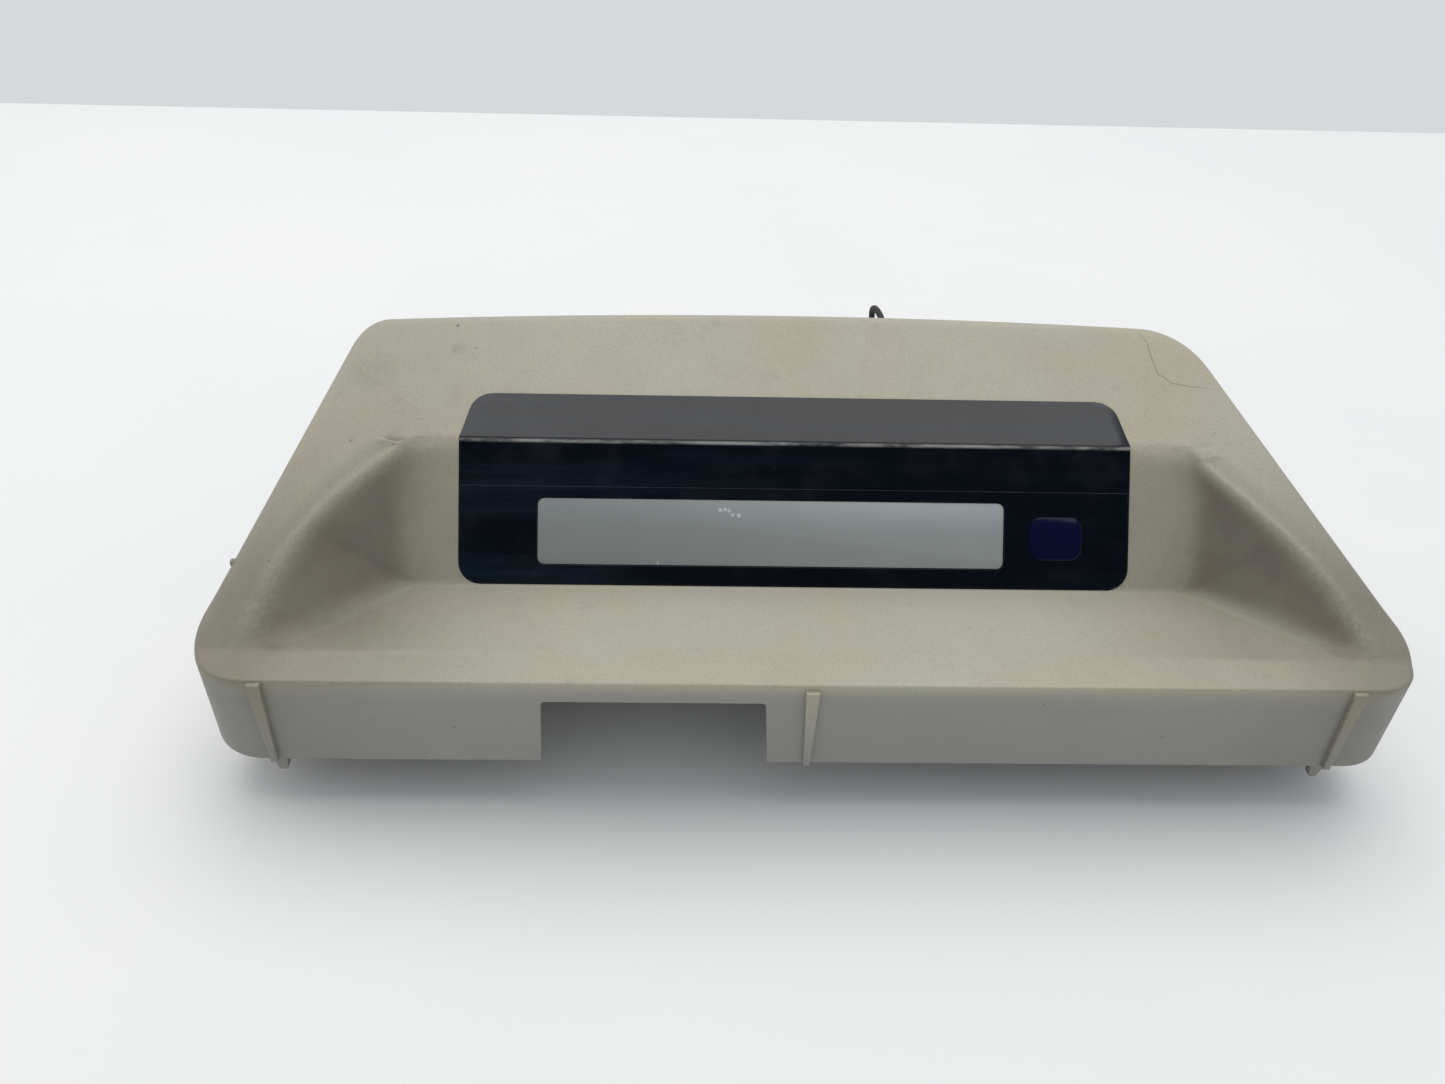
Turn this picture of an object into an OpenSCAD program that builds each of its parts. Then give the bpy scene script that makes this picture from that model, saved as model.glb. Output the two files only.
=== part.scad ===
// Operator-display hood of a cash register, off its machine: an injection-moulded cover
// with the display window, and the display unit that it carries inside.
// Drawn with X to the right, Y away from the operator, Z up, and zero at the middle of
// the front skirt's top edge. place() moves it to the middle of its base at the end.

/* [Hood] */
// Width over the two front corners
hood_w = 329.4; // [326:0.2:336]
// Depth from the front skirt's face to the rear wall, at the middle
hood_d = 108; // [106:0.5:112]
// Height of the front skirt
skirt_h = 28.9; // [27:0.1:31]
// How far the side and rear walls reach below the front skirt
wall_drop = 18; // [14:0.5:22]
// Wall thickness
wall = 2.5; // [2:0.1:2.8]
// Depth of the level lip along the front
lip = 11; // [9:0.5:13]
// Slope of the top
ramp_angle = 30; // [28:0.5:32]
// Plan radius of the left front corner
front_r = 17.5; // [14:0.5:20]
// Plan radius of the right front corner
front_r_right = 15; // [12:0.5:18]
// Plan radius of the left rear corner
rear_r_left = 13; // [10:1:24]
// Plan radius of the right rear corner
rear_r_right = 24; // [18:1:34]
// How far the left side leans in towards the rear, in plan
side_angle_left = 20.7; // [18:0.1:23]
// How far the right side leans in towards the rear, in plan
side_angle_right = 28; // [26:0.1:31]
// Radius of the slightly bowed rear wall
rear_bow_r = 2500; // [2000:50:3200]

/* [Recess] */
// Distance of the recess's upper crest behind the front face
crest_y = 67.4; // [66:0.2:69]
// Slope of the recess's rear face
face_angle = 55; // [54:0.5:58]
// Length of that face, crest to floor
face_len = 42.6; // [41:0.2:44]
// Half width of the face between the side walls
face_half = 113.8; // [112:0.2:116]
// How much the side walls open out, millimetres each side for a millimetre forward
side_flare = 1.373; // [1.2:0.01:1.45]
// Fillet between the face and the side walls
face_fillet = 12; // [6:1:14]

/* [Lens] */
// Centre of the lens cover across the hood
lens_x = -1.9; // [-4:0.1:0]
// Half width of the lens cover
lens_half = 97.7; // [96:0.1:99]
// Half width at the top of its flange
flange_half = 94.2; // [92:0.1:95]
// Length of the flange over the crest
flange_len = 14.9; // [13:0.1:17]
// Rounding of the flange's top corners
flange_r = 6.5; // [4:0.5:8]
// Thickness of the lens cover
lens_t = 2; // [1.8:0.1:2.4]
// How far the lens cover stands proud of the hood
lens_proud = 0.3; // [0.2:0.05:0.4]
// Gap round the lens cover in its pocket
lens_gap = 0.2; // [0.15:0.05:0.3]
// Thickness of the adhesive tape behind the lens cover
tape_t = 0.2; // [0.15:0.05:0.3]
// Thickness of the seat that carries the lens cover
seat_t = 2; // [1.8:0.1:2.4]

/* [Windows] */
// Centre of the display window across the hood
win_x = -9; // [-11:0.1:-7]
// Width of the display window
win_w = 136; // [132:0.5:138]
// Height of the display window, along the face
win_h = 19.3; // [17:0.1:20]
// Distance of the window's centre below the crest, along the face
win_s = 26.6; // [26:0.1:27.2]
// Centre of the indicator window across the hood
lamp_x = 74.2; // [73.6:0.1:74.6]
// Width of the indicator window
lamp_w = 15.3; // [14:0.1:15.6]
// Height of the indicator window
lamp_h = 12.5; // [11:0.1:13]
// Distance of the face film's top edge below the crest
film_top = 13.6; // [12.5:0.1:14.4]
// Thickness of the face film
film_t = 0.2; // [0.15:0.05:0.25]

/* [Front skirt] */
// Distance of the outer ribs in from the hood's widest points
rib_inset = 20.3; // [19.8:0.1:22]
// Width of a rib at its top
rib_w = 3.2; // [2.6:0.1:3.8]
// Width of a rib at its foot
rib_w_foot = 1.7; // [1.4:0.1:2]
// How far the ribs stand out of the skirt
rib_proud = 1.5; // [1:0.1:2]
// Left edge of the notch, at its top
notch_left = -71.3; // [-74:0.1:-68]
// Right edge of the notch, at its top
notch_right = -12; // [-14:0.1:-10]
// Distance of the notch's top below the skirt's top edge
notch_top = 6.6; // [6:0.1:9]
// How much the notch widens each side, down to the skirt's foot
notch_flare = 1.3; // [0.5:0.1:2]
// Drop of the two front hooks below the skirt
hook_drop = 6.8; // [5:0.1:9]

/* [Display unit] */
// Length of the display module's metal frame
module_l = 150; // [148:0.5:150.4]
// Height of the display module's metal frame
module_h = 32; // [31:0.1:32]
// Depth of the display module, seal to circuit board
module_t = 7; // [6.6:0.1:7.4]
// Length of the circuit board
board_l = 184; // [183:0.2:184.4]
// Height of the circuit board
board_h = 34; // [33:0.1:34.4]
// Thickness of the circuit board
board_t = 1.6; // [1.2:0.1:1.8]

/* [Mounting] */
// Spacing of the two rear screw bosses
boss_pitch = 150; // [140:1:160]
// Diameter of a rear screw boss
boss_d = 8; // [7:0.1:9]
// Diameter of a rear boss's pilot hole
pilot_d = 2.6; // [2.4:0.1:2.8]
// Depth of that pilot hole
pilot_depth = 14; // [12:0.5:16]

/* [Display lead] */
// Diameter of the display lead
lead_d = 2; // [1.8:0.1:2.2]
// Where the lead leaves the rear wall, across the hood
lead_x = 28; // [27.5:0.1:28.5]
// Distance of the lead's hole below the hood's rear edge
lead_drop = 10; // [9.6:0.1:10.6]

/* [Hidden] */
$fn = 64;
deep = 200;
tan_ramp = tan(ramp_angle);
crest = [crest_y, tan_ramp * (crest_y - lip)];
face_dir = [cos(face_angle), sin(face_angle)];
face_out = [-sin(face_angle), cos(face_angle)];
ramp_dir = [cos(ramp_angle), sin(ramp_angle)];
ramp_out = [-sin(ramp_angle), cos(ramp_angle)];
floor_foot = crest - face_len * face_dir;
floor_angle = atan2(floor_foot[1], floor_foot[0] - lip);
corner_x = hood_w / 2 - front_r;
corner_right = hood_w / 2 - front_r_right;
rib_pitch = hood_w / 2 - rib_inset;
base_z = -skirt_h - wall_drop;
step_y = 26;
step_run = 4;
rear_origin = [0, hood_d - rear_bow_r];
normal_left = [-cos(side_angle_left), sin(side_angle_left)];
normal_right = [cos(side_angle_right), sin(side_angle_right)];

// Depths below the recess's rear face
lens_back = lens_proud - lens_t;
pocket_z = lens_back - tape_t;
seat_z = pocket_z - seat_t;
seal_t = 1.5;
seal_z = seat_z - seal_t;
board_z = seal_z - module_t;
board_back = board_z - board_t;
pad_margin = 3;
tape_margin = 3.7;
film_margin = 0.6;
lens_end = face_len - 0.6;
pocket_end = face_len - 0.4;
pane_gap = 0.1;
lamp_s = win_s + 0.5;

// Display unit
board_x = -1;
sheet_t = 0.6;
glass_t = 2.2;
glass_z = seal_z - sheet_t - glass_t;
guide_l = win_w;
guide_h = win_h + 2.7;
strip_w = 2;
lamp_l = 10;
lamp_t = 2.4;
lamp_rise = 1.8;
lamp_gap = 0.4;
chip_l = 13;
chip_w = 8;
chip_t = 1.5;
chip_pitch = 42;
leg_l = 11;
leg_w = 0.5;
leg_pitch = 1.7;
can_d = 6.3;
can_h = 7;
can_pitch = 9;
can_x = 70;
resistor_x = -78;
resistor_pitch = 4;
socket_l = 12.6;
socket_w = 6.4;
socket_t = 0.8;
pin_w = 0.6;
pin_pitch = 2.5;
pin_hole = 0.9;
view_w = win_w + 4;
view_h = win_h + 2.7;
screw_dx = board_l / 2 - 4;
screw_dy = board_h / 2 - 4;
post_d = 7;
post_pilot_d = 2.2;
head_d = 5;
head_h = 1.8;
header_x = 52;
header_y = -7;
header_h = 7;
plug_reach = 9;

// Screw bosses, hooks and small marks
boss_y = 90;
boss_foot = 1;
boss_h = 34;
gusset_t = 3;
hook_t = 3;
nub_y = 35;
nub_d = 2.7;

// Lead, grommet and coil
lead_z = tan_ramp * (hood_d - lip) - lead_drop;
wall_y = rear_at(lead_x);
grommet_d = 5.6;
grommet_flange_d = 8;
grommet_flange_t = 1;
grommet_gap = 0.1;
y_back = wall_y + grommet_gap + grommet_flange_t;
y_mid = (y_back - rib_proud) / 2;
lead_joint_y = wall_y - wall / 2;
lead_sides = 8;
coil_r = 11.5;
coil_x = 11;
coil_y = wall_y + 44.2;
coil_z = base_z + 0.7;
turn_step = 1.95;
tie_w = 2.5;
tie_t = 0.6;
end_plug_l = 12;
end_plug_w = 10.4;
end_plug_t = 4.8;
lead_rest = base_z + lead_d / 2 + 0.2;
plug_back = face_at(win_s - header_y, board_back - plug_reach);

// Route of the lead inside the hood, from its plug to the middle of the rear wall
inner_route = [[header_x, plug_back[0], plug_back[1]],
  [header_x, plug_back[0] + 2.4, plug_back[1] - 1.7],
  [header_x - 0.4, plug_back[0] + 6, plug_back[1] - 3.6],
  [header_x - 1.8, plug_back[0] + 11, plug_back[1] - 4.6],
  [47.6, wall_y - 25, lead_z - 56], [44.4, wall_y - 20.2, lead_z - 49.6],
  [41, wall_y - 16.2, lead_z - 40], [37.4, wall_y - 12.8, lead_z - 29],
  [34, wall_y - 9.8, lead_z - 18], [31.2, wall_y - 7.6, lead_z - 9],
  [29.6, wall_y - 6.2, lead_z - 4], [28.7, wall_y - 4.8, lead_z - 1.2],
  [lead_x, wall_y - 3, lead_z], [lead_x, lead_joint_y, lead_z]];

// Free lead, as distances from its hole: straight out of the wall, up a little and over, down
fall = [[0, 2, 0], [0, 4.8, 0.3], [-0.1, 7.4, 1.1], [-0.4, 9.8, 2], [-0.9, 12.2, 2.8],
  [-1.5, 14.5, 3.2], [-1.9, 16.8, 2.8], [-2.1, 18.9, 1.6], [-2, 20.4, -0.2],
  [-1.8, 21.2, -2.4], [-1.7, 21.5, -5.5], [-1.7, 21.6, -10], [-2.1, 21.7, -15.5],
  [-2.8, 21.8, -21.5], [-3.6, 21.8, -27.5], [-4.3, 21.7, -33.5], [-4.9, 21.6, -39.5],
  [-5.3, 21.6, -45.5], [-5.5, 21.6, -51.5], [-5.5, 21.6, -57.5], [-5.5, 21.6, -63.5],
  [-5.5, 21.7, -69.5], [-5.4, 22, -75.3], [-5.3, 22.8, -81], [-5.2, 24.6, -86]];
// Free lead on the table, across, back from the wall and above its rest height
run_out = [[22.9, 27.6, 2.2], [23, 31.6, 0.2], [22.9, 35.8, 0], [22.7, 40, 0.2]];
outer_route = concat([[lead_x, lead_joint_y, lead_z]],
  [for (p = fall) [lead_x, wall_y, lead_z] + p],
  [for (p = run_out) [p[0], wall_y + p[1], lead_rest + p[2]]],
  [[coil_x + coil_r, coil_y, coil_z + lead_d / 2]]);

// Free end of the lead, leaving the coil's top turn: distances from the coil's centre and
// above the lead's rest height
tail = [[6.45, 11.2, 2.2], [2.8, 12.9, 2], [-0.8, 14.6, 1.7], [-4.3, 16.5, 1.5],
  [-7.5, 18.9, 1.4], [-10.4, 21.7, 1.4]];
end_route = [for (p = tail) [coil_x, coil_y, lead_rest] + p];

// ---------- shared shapes ----------

function unit(v) = v / norm(v);

// Y of the rear wall's outside, across the hood
function rear_at(x) = rear_origin[1] + sqrt(rear_bow_r * rear_bow_r - x * x);

// [Y, Z] of a point on the recess's rear face: s below the crest, d out of the face
function face_at(s, d) = crest - s * face_dir + d * face_out;

// [Y, Z] of a point on the ramp: t up from the crest, d out of the ramp
function ramp_at(t, d) = crest + t * ramp_dir + d * ramp_out;

// [Y, Z] where the face and the ramp meet, both moved out by d
function bend_at(d) = crest + d / (1 + cos(face_angle - ramp_angle)) * (face_out + ramp_out);

// Centre of a rear corner's arc, on the side with the given outward normal, behind a front
// corner whose arc has the given centre and radius
function rear_centre(n, r, front, front_radius) = let(
    along = [-n[1], n[0]] * sign(n[0]),
    reach = n * front + front_radius - r,
    start = n * reach - rear_origin,
    b = start * along,
    c = start * start - (rear_bow_r - r) * (rear_bow_r - r))
  rear_origin + start + along * (sqrt(b * b - c) - b);

rear_left = rear_centre(normal_left, rear_r_left, [-corner_x, front_r], front_r);
rear_right = rear_centre(normal_right, rear_r_right, [corner_right, front_r_right],
  front_r_right);

// Moves a drawing from the skirt's top edge to the middle of the part's base
module place() translate([0, -y_mid, -base_z]) children();

// Frame on the recess's rear face: Y up the face, Z out of it, zero at the crest
module on_face() translate([0, crest[0], crest[1]]) rotate([face_angle, 0, 0]) children();

// Frame on the ramp: Y up the ramp, Z out of it, zero at the crest
module on_ramp() translate([0, crest[0], crest[1]]) rotate([ramp_angle, 0, 0]) children();

// A side profile drawn as [Y, Z], stretched across X
module across(x0, x1) translate([x0, 0, 0]) rotate([90, 0, 90]) linear_extrude(x1 - x0) children();

// A block centred on x and y, from z0 up to z1
module block(w, h, z0, z1) translate([-w / 2, -h / 2, z0]) cube([w, h, z1 - z0]);

// Plan outline of the hood, drawn in by the given distance
module plan(inset) {
  out_left = unit(rear_left - rear_origin);
  out_right = unit(rear_right - rear_origin);
  translate([-corner_x, front_r]) circle(front_r - inset);
  translate([corner_right, front_r_right]) circle(front_r_right - inset);
  translate(rear_left) circle(rear_r_left - inset);
  translate(rear_right) circle(rear_r_right - inset);
  intersection() {
    translate(rear_origin) circle(rear_bow_r - inset, $fn = 1440);
    polygon([[-corner_x, inset], [corner_right, inset],
      [corner_right, front_r_right] + normal_right * (front_r_right - inset),
      rear_right + normal_right * (rear_r_right - inset),
      rear_right + out_right * (rear_r_right - inset),
      rear_right + out_right * (rear_r_right + 6),
      rear_left + out_left * (rear_r_left + 6),
      rear_left + out_left * (rear_r_left - inset),
      rear_left + normal_left * (rear_r_left - inset),
      [-corner_x, front_r] + normal_left * (front_r - inset)]);
  }
}

// Side profile of the hood's outside
module outer_profile() polygon([[-1, -skirt_h], [-1, 0], [lip, 0],
  [deep, tan_ramp * (deep - lip)], [deep, base_z], [step_y + step_run, base_z],
  [step_y, -skirt_h]]);

// Side profile of the space inside the hood
module inner_profile() polygon([[0, -deep], [0, -wall], [lip + wall * tan(ramp_angle / 2), -wall],
  [deep, tan_ramp * (deep - lip) - wall / cos(ramp_angle)], [deep, -deep]]);

// Section of the recess square to its rear face's slope, its walls moved out by grow
module recess_section(grow) {
  lean = atan(side_flare);
  reach = crest_y;
  centre = [face_half - face_fillet * (1 - sin(lean)) / cos(lean), -face_fillet];
  touch = centre + (face_fillet + grow) * [cos(lean), sin(lean)];
  far = face_half + (grow + reach * sin(lean)) / cos(lean);
  for (side = [-1, 1]) translate([side * centre[0], centre[1]]) circle(face_fillet + grow);
  polygon([[-centre[0], grow], [centre[0], grow], touch, [far, -reach], [-far, -reach],
    [-touch[0], touch[1]]]);
}

// The recess in the hood's top, its walls and floor moved out by grow
module recess(grow) difference() {
  translate([0, crest[0], crest[1]]) rotate([face_angle - 90, 0, 0]) translate([0, 0, -deep / 2])
    linear_extrude(deep) recess_section(grow);
  translate([-2 * deep, lip, 0]) rotate([floor_angle, 0, 0]) translate([0, -deep, -deep - grow])
    cube([4 * deep, 2 * deep, deep]);
}

// Plan of the lens cover seen square to the ramp, grown by a margin
module lens_plan(grow) {
  side_n = unit([flange_len, lens_half - flange_half]);
  centre_y = flange_len - flange_r;
  centre_x = lens_half - (flange_r + side_n[1] * centre_y) / side_n[0];
  touch = [centre_x, centre_y] + (flange_r + grow) * side_n;
  knee = grow * (1 - side_n[0]) / side_n[1];
  for (side = [-1, 1]) translate([side * centre_x, centre_y]) circle(flange_r + grow);
  polygon([[-lens_half - grow, -2 * face_len], [lens_half + grow, -2 * face_len],
    [lens_half + grow, knee], touch, [centre_x, flange_len + grow],
    [-centre_x, flange_len + grow], [-touch[0], touch[1]], [-lens_half - grow, knee]]);
}

// A bent plate shaped like the lens cover, between two heights off the hood's surface
module lens_plate(grow, top, bottom, end) translate([lens_x, 0, 0]) intersection() {
  across(-lens_half - 10, lens_half + 10) polygon([face_at(end, top), bend_at(top),
    ramp_at(flange_len + 5, top), ramp_at(flange_len + 5, bottom), bend_at(bottom),
    face_at(end, bottom)]);
  on_ramp() translate([0, 0, -face_len]) linear_extrude(2 * face_len) lens_plan(grow);
}

// Places a drawing at the display window's centre, on the recess's rear face
module at_window() on_face() translate([win_x, -win_s, 0]) children();

// Places a drawing at the indicator window's centre, on the recess's rear face
module at_lamp() on_face() translate([lamp_x, -lamp_s, 0]) children();

// Places a drawing at the circuit board's centre, on the recess's rear face
module at_board() on_face() translate([board_x, -win_s, 0]) children();

// Places a drawing at the circuit board's four screws
module at_board_screws() at_board() for (sx = [-1, 1], sy = [-1, 1])
  translate([sx * screw_dx, sy * screw_dy, 0]) children();

// A round tube along a route of points, its rings square to the route
module tube(route, d) {
  last = len(route) - 1;
  function heading(i) = unit(route[min(i + 1, last)] - route[max(i - 1, 0)]);
  function side_of(i) = unit(cross(heading(i), [0.31, 0.22, 0.93]));
  rings = [for (i = [0:last]) let(u = side_of(i), v = cross(heading(i), u))
    for (k = [0:lead_sides - 1]) route[i] + d / 2 * (cos(360 * k / lead_sides) * u
      + sin(360 * k / lead_sides) * v)];
  skin = [for (i = [0:last - 1], k = [0:lead_sides - 1]) let(n = (k + 1) % lead_sides)
    each [[i * lead_sides + k, (i + 1) * lead_sides + k, (i + 1) * lead_sides + n],
      [i * lead_sides + k, (i + 1) * lead_sides + n, i * lead_sides + n]]];
  start_cap = [for (k = [0:lead_sides - 1]) k];
  end_cap = [for (k = [lead_sides - 1:-1:0]) last * lead_sides + k];
  polyhedron(rings, concat(skin, [start_cap, end_cap]));
}

// ---------- hood ----------

// Raised rib on the skirt's face, its top a little below the skirt's edge
module skirt_rib(x, drop) translate([x, wall / 2, 0]) rotate([90, 0, 0])
  linear_extrude(wall / 2 + rib_proud) polygon([[-rib_w / 2, -drop], [rib_w / 2, -drop],
    [rib_w_foot / 2, -skirt_h], [-rib_w_foot / 2, -skirt_h]]);

// Hook behind the skirt that catches the machine's front cover
module front_hook(x) translate([x, wall - 0.5 + hook_t, 0]) rotate([90, 0, 0])
  linear_extrude(hook_t) polygon([[-2, -skirt_h + 12], [2, -skirt_h + 12], [2, -skirt_h - 3],
    [1, -skirt_h - hook_drop], [-1, -skirt_h - hook_drop], [-2, -skirt_h - 3]]);

// Screw boss that stands beside the rear wall, with the rib that ties it to the wall
module rear_boss(x) {
  translate([x, boss_y, base_z + boss_foot]) cylinder(d = boss_d, h = boss_h);
  translate([x - gusset_t / 2, boss_y, base_z + boss_foot + 3])
    cube([gusset_t, rear_at(x) - wall / 2 - boss_y, boss_h - 3]);
}

// Empty space inside the hood, open underneath
module cavity() difference() {
  intersection() {
    translate([0, 0, -deep]) linear_extrude(2 * deep) plan(wall);
    across(-deep, deep) inner_profile();
  }
  recess(wall);
}

// Hood with its ribs, hooks, lens seat, display posts and screw bosses
module hood_shell() place() color([0.66, 0.65, 0.6]) difference() {
  union() {
    difference() {
      intersection() {
        translate([0, 0, base_z - 1]) linear_extrude(deep) plan(0);
        across(-deep, deep) outer_profile();
      }
      recess(0);
      cavity();
    }
    lens_plate(pad_margin, -0.5, seat_z, face_len + 1.5);
    at_board_screws() translate([0, 0, board_z]) cylinder(d = post_d, h = seat_z + 0.5 - board_z);
    skirt_rib(-rib_pitch, 0.6);
    skirt_rib(0, 1.8);
    skirt_rib(rib_pitch, 0.6);
    front_hook(-rib_pitch);
    front_hook(rib_pitch);
    rear_boss(-boss_pitch / 2);
    rear_boss(boss_pitch / 2);
    side_nub();
  }
  lens_plate(lens_gap, 3, pocket_z, pocket_end);
  at_window() block(view_w, view_h, seat_z - 1, 1);
  at_lamp() block(lamp_w - 3.5, lamp_h - 3.5, seat_z - 1, 1);
  at_board_screws() translate([0, 0, board_z - 1]) cylinder(d = post_pilot_d, h = 8);
  skirt_notch();
  for (side = [-1, 1]) translate([side * boss_pitch / 2, boss_y, base_z + boss_foot - 1])
    cylinder(d = pilot_d, h = pilot_depth + 1);
  translate([lead_x, wall_y - 10, lead_z]) rotate([-90, 0, 0]) cylinder(d = grommet_d, h = 20);
}

// Notch in the front skirt, open at its foot
module skirt_notch() translate([0, wall + 1, 0]) rotate([90, 0, 0]) linear_extrude(wall + 3)
  polygon([[notch_left, -notch_top], [notch_right, -notch_top],
    [notch_right + notch_flare, -skirt_h - 1], [notch_left - notch_flare, -skirt_h - 1]]);

// Small moulding nub on the left side wall, just below its edge
module side_nub() {
  edge = (normal_left * [-corner_x, front_r] + front_r - normal_left[1] * nub_y) / normal_left[0];
  translate([edge + 1, nub_y, tan_ramp * (nub_y - lip) - nub_d]) rotate([0, -90, 0])
    cylinder(d = nub_d, h = 1.8);
}

// ---------- display window ----------

// Black cover bent over the recess's crest, with openings for its two windows
module lens_cover() place() color([0.03, 0.04, 0.06]) difference() {
  lens_plate(0, lens_proud, lens_back, lens_end);
  at_window() block(win_w, win_h, lens_back - 1, 3);
  at_lamp() block(lamp_w, lamp_h, lens_back - 1, 3);
}

// Adhesive tape between the cover and its seat
module lens_tape() place() color([0.2, 0.2, 0.2]) difference() {
  on_face() translate([lens_x, -face_len / 2, 0])
    block(2 * (lens_half - tape_margin), face_len - 2 * pad_margin, pocket_z, lens_back);
  at_window() block(view_w + 2, view_h + 2, pocket_z - 1, lens_back + 1);
  at_lamp() block(lamp_w + 1.6, lamp_h + 2, pocket_z - 1, lens_back + 1);
}

// Printed film on the front of the cover, cut out round both windows
module face_film() place() color([0.02, 0.03, 0.05]) difference() {
  on_face() translate([lens_x, -(film_top + lens_end - film_margin) / 2, 0])
    block(2 * (lens_half - film_margin), lens_end - film_margin - film_top, lens_proud,
      lens_proud + film_t);
  at_window() block(win_w, win_h, lens_proud - 1, 3);
  at_lamp() block(lamp_w, lamp_h, lens_proud - 1, 3);
}

// Clear pane in the display window
module window_pane() place() color([0.48, 0.49, 0.48]) at_window()
  block(win_w - 2 * pane_gap, win_h - 2 * pane_gap, lens_back, lens_proud);

// Dark blue pane in the indicator window
module indicator_pane() place() color([0.02, 0.04, 0.18]) at_lamp()
  block(lamp_w - 2 * pane_gap, lamp_h - 2 * pane_gap, lens_back, lens_proud);

// ---------- display unit ----------

// Foam seal between the seat and the display's frame
module dust_seal() place() color([0.1, 0.1, 0.1]) at_window() difference() {
  block(module_l - 1, module_h - 1, seal_z, seat_z);
  block(view_w, view_h, seal_z - 1, seat_z + 1);
}

// Folded metal frame of the display module, open towards the board
module display_frame() place() color([0.45, 0.45, 0.44]) at_window() difference() {
  block(module_l, module_h, board_z, seal_z);
  block(module_l - 2 * sheet_t, module_h - 2 * sheet_t, board_z - 1, seal_z - sheet_t);
  block(view_w, view_h, board_z, seal_z + 1);
}

// Display glass behind the frame's opening
module display_glass() place() color([0.5, 0.53, 0.48]) at_window()
  block(module_l - 2, module_h - 2, glass_z, glass_z + glass_t);

// Clear block that spreads the backlight behind the glass
module light_guide() place() color([0.9, 0.92, 0.9]) at_window()
  block(guide_l, guide_h, board_z, glass_z);

// Rubber strips that join the glass to the board, above and below the light guide
module contact_strips() place() color([0.85, 0.5, 0.5]) at_window() for (side = [-1, 1])
  translate([0, side * (guide_h / 2 + 1 + strip_w / 2), 0])
    block(guide_l + 2, strip_w, board_z, glass_z);

// Lamps at the two ends of the light guide
module backlight_lamps() place() color([0.95, 0.9, 0.5]) at_window() for (side = [-1, 1])
  translate([side * (guide_l / 2 + lamp_gap + lamp_t / 2), 0, 0])
    block(lamp_t, lamp_l, board_z, board_z + lamp_rise);

// Circuit board that carries the display and hangs on the hood's four posts
module display_board() place() color([0.1, 0.35, 0.2]) difference() {
  at_board() block(board_l, board_h, board_back, board_z);
  at_board_screws() translate([0, 0, board_back - 1]) cylinder(d = 2.9, h = board_t + 2);
}

// Screws that hold the board to the posts
module board_screws() place() color([0.7, 0.7, 0.72]) at_board_screws() difference() {
  union() {
    translate([0, 0, board_back - head_h]) cylinder(d = head_d, h = head_h);
    translate([0, 0, board_back - 0.1]) cylinder(d = post_pilot_d - 0.1, h = board_t + 5.5);
  }
  block(3, 0.7, board_back - head_h - 1, board_back - head_h + 0.8);
  block(0.7, 3, board_back - head_h - 1, board_back - head_h + 0.8);
}

// One driver chip on the back of the board, with its legs
module chip() {
  block(chip_l, chip_w, board_back - 0.2 - chip_t, board_back - 0.2);
  for (i = [-3:3]) translate([i * leg_pitch, 0, 0])
    block(leg_w, leg_l, board_back - 0.9, board_back);
}

// Three driver chips on the back of the board
module driver_chips() place() color([0.07, 0.07, 0.07]) at_board() for (i = [-1:1])
  translate([i * chip_pitch - 6, 3, 0]) chip();

// Two can capacitors on the back of the board
module board_capacitors() place() color([0.75, 0.76, 0.78]) at_board() for (i = [0, 1])
  translate([can_x + can_pitch * i, 7, 0]) {
    block(can_d + 0.3, can_d + 0.3, board_back - 1, board_back);
    translate([0, 0, board_back - can_h - 0.5]) cylinder(d = can_d, h = can_h);
  }

// A row of chip resistors on the back of the board
module board_resistors() place() color([0.2, 0.2, 0.2]) at_board() for (i = [0:4])
  translate([resistor_x + resistor_pitch * i, -8, 0]) block(1.3, 2.1, board_back - 0.6, board_back);

// Socket for the display lead, with its four pins
module board_socket() place() color([0.92, 0.9, 0.84]) at_board()
  translate([header_x - board_x, header_y, 0]) {
    difference() {
      block(socket_l, socket_w, board_back - header_h, board_back);
      block(socket_l - 2 * socket_t, socket_w - 2 * socket_t, board_back - header_h - 1,
        board_back - 1);
    }
    for (i = [0:3]) translate([(i - 1.5) * pin_pitch, 0, 0])
      block(pin_w, pin_w, board_back - 5, board_back - 0.9);
  }

// Plug of the display lead, in the board's socket
module lead_plug() place() color([0.9, 0.88, 0.82]) at_board()
  translate([header_x - board_x, header_y, 0]) difference() {
    block(socket_l - 2 * socket_t - 0.2, socket_w - 2 * socket_t - 0.2,
      board_back - plug_reach, board_back - 1.4);
    for (i = [0:3]) translate([(i - 1.5) * pin_pitch, 0, 0])
      block(pin_hole, pin_hole, board_back - 5.4, board_back);
  }

// Indicator lamp on the board, behind the blue pane
module indicator_lamp() place() color([0.85, 0.87, 0.95]) at_lamp()
  block(3.5, 2.8, board_z, board_z + 1.9);

// Square tube that keeps the indicator's light to its own window
module lamp_shroud() place() color([0.93, 0.93, 0.91]) at_lamp() difference() {
  block(lamp_w - 1, lamp_h + 1, board_z, seat_z);
  block(lamp_w - 3.4, lamp_h - 1.4, board_z - 1, seat_z + 1);
}

// ---------- display lead ----------

// Lead inside the hood, from the board's plug to the rear wall
module lead_inside() place() color([0.05, 0.05, 0.05]) tube(inner_route, lead_d);

// Rubber grommet in the rear wall
module lead_grommet() place() color([0.05, 0.05, 0.05]) translate([lead_x, wall_y, lead_z])
  rotate([-90, 0, 0]) difference() {
    union() {
      translate([0, 0, -wall - 1]) cylinder(d = grommet_d - 0.2, h = wall + 2);
      translate([0, 0, grommet_gap]) cylinder(d = grommet_flange_d, h = grommet_flange_t);
      translate([0, 0, -wall - grommet_gap - grommet_flange_t])
        cylinder(d = grommet_flange_d, h = grommet_flange_t);
    }
    translate([0, 0, -10]) cylinder(d = lead_d + 0.2, h = 20);
  }

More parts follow.
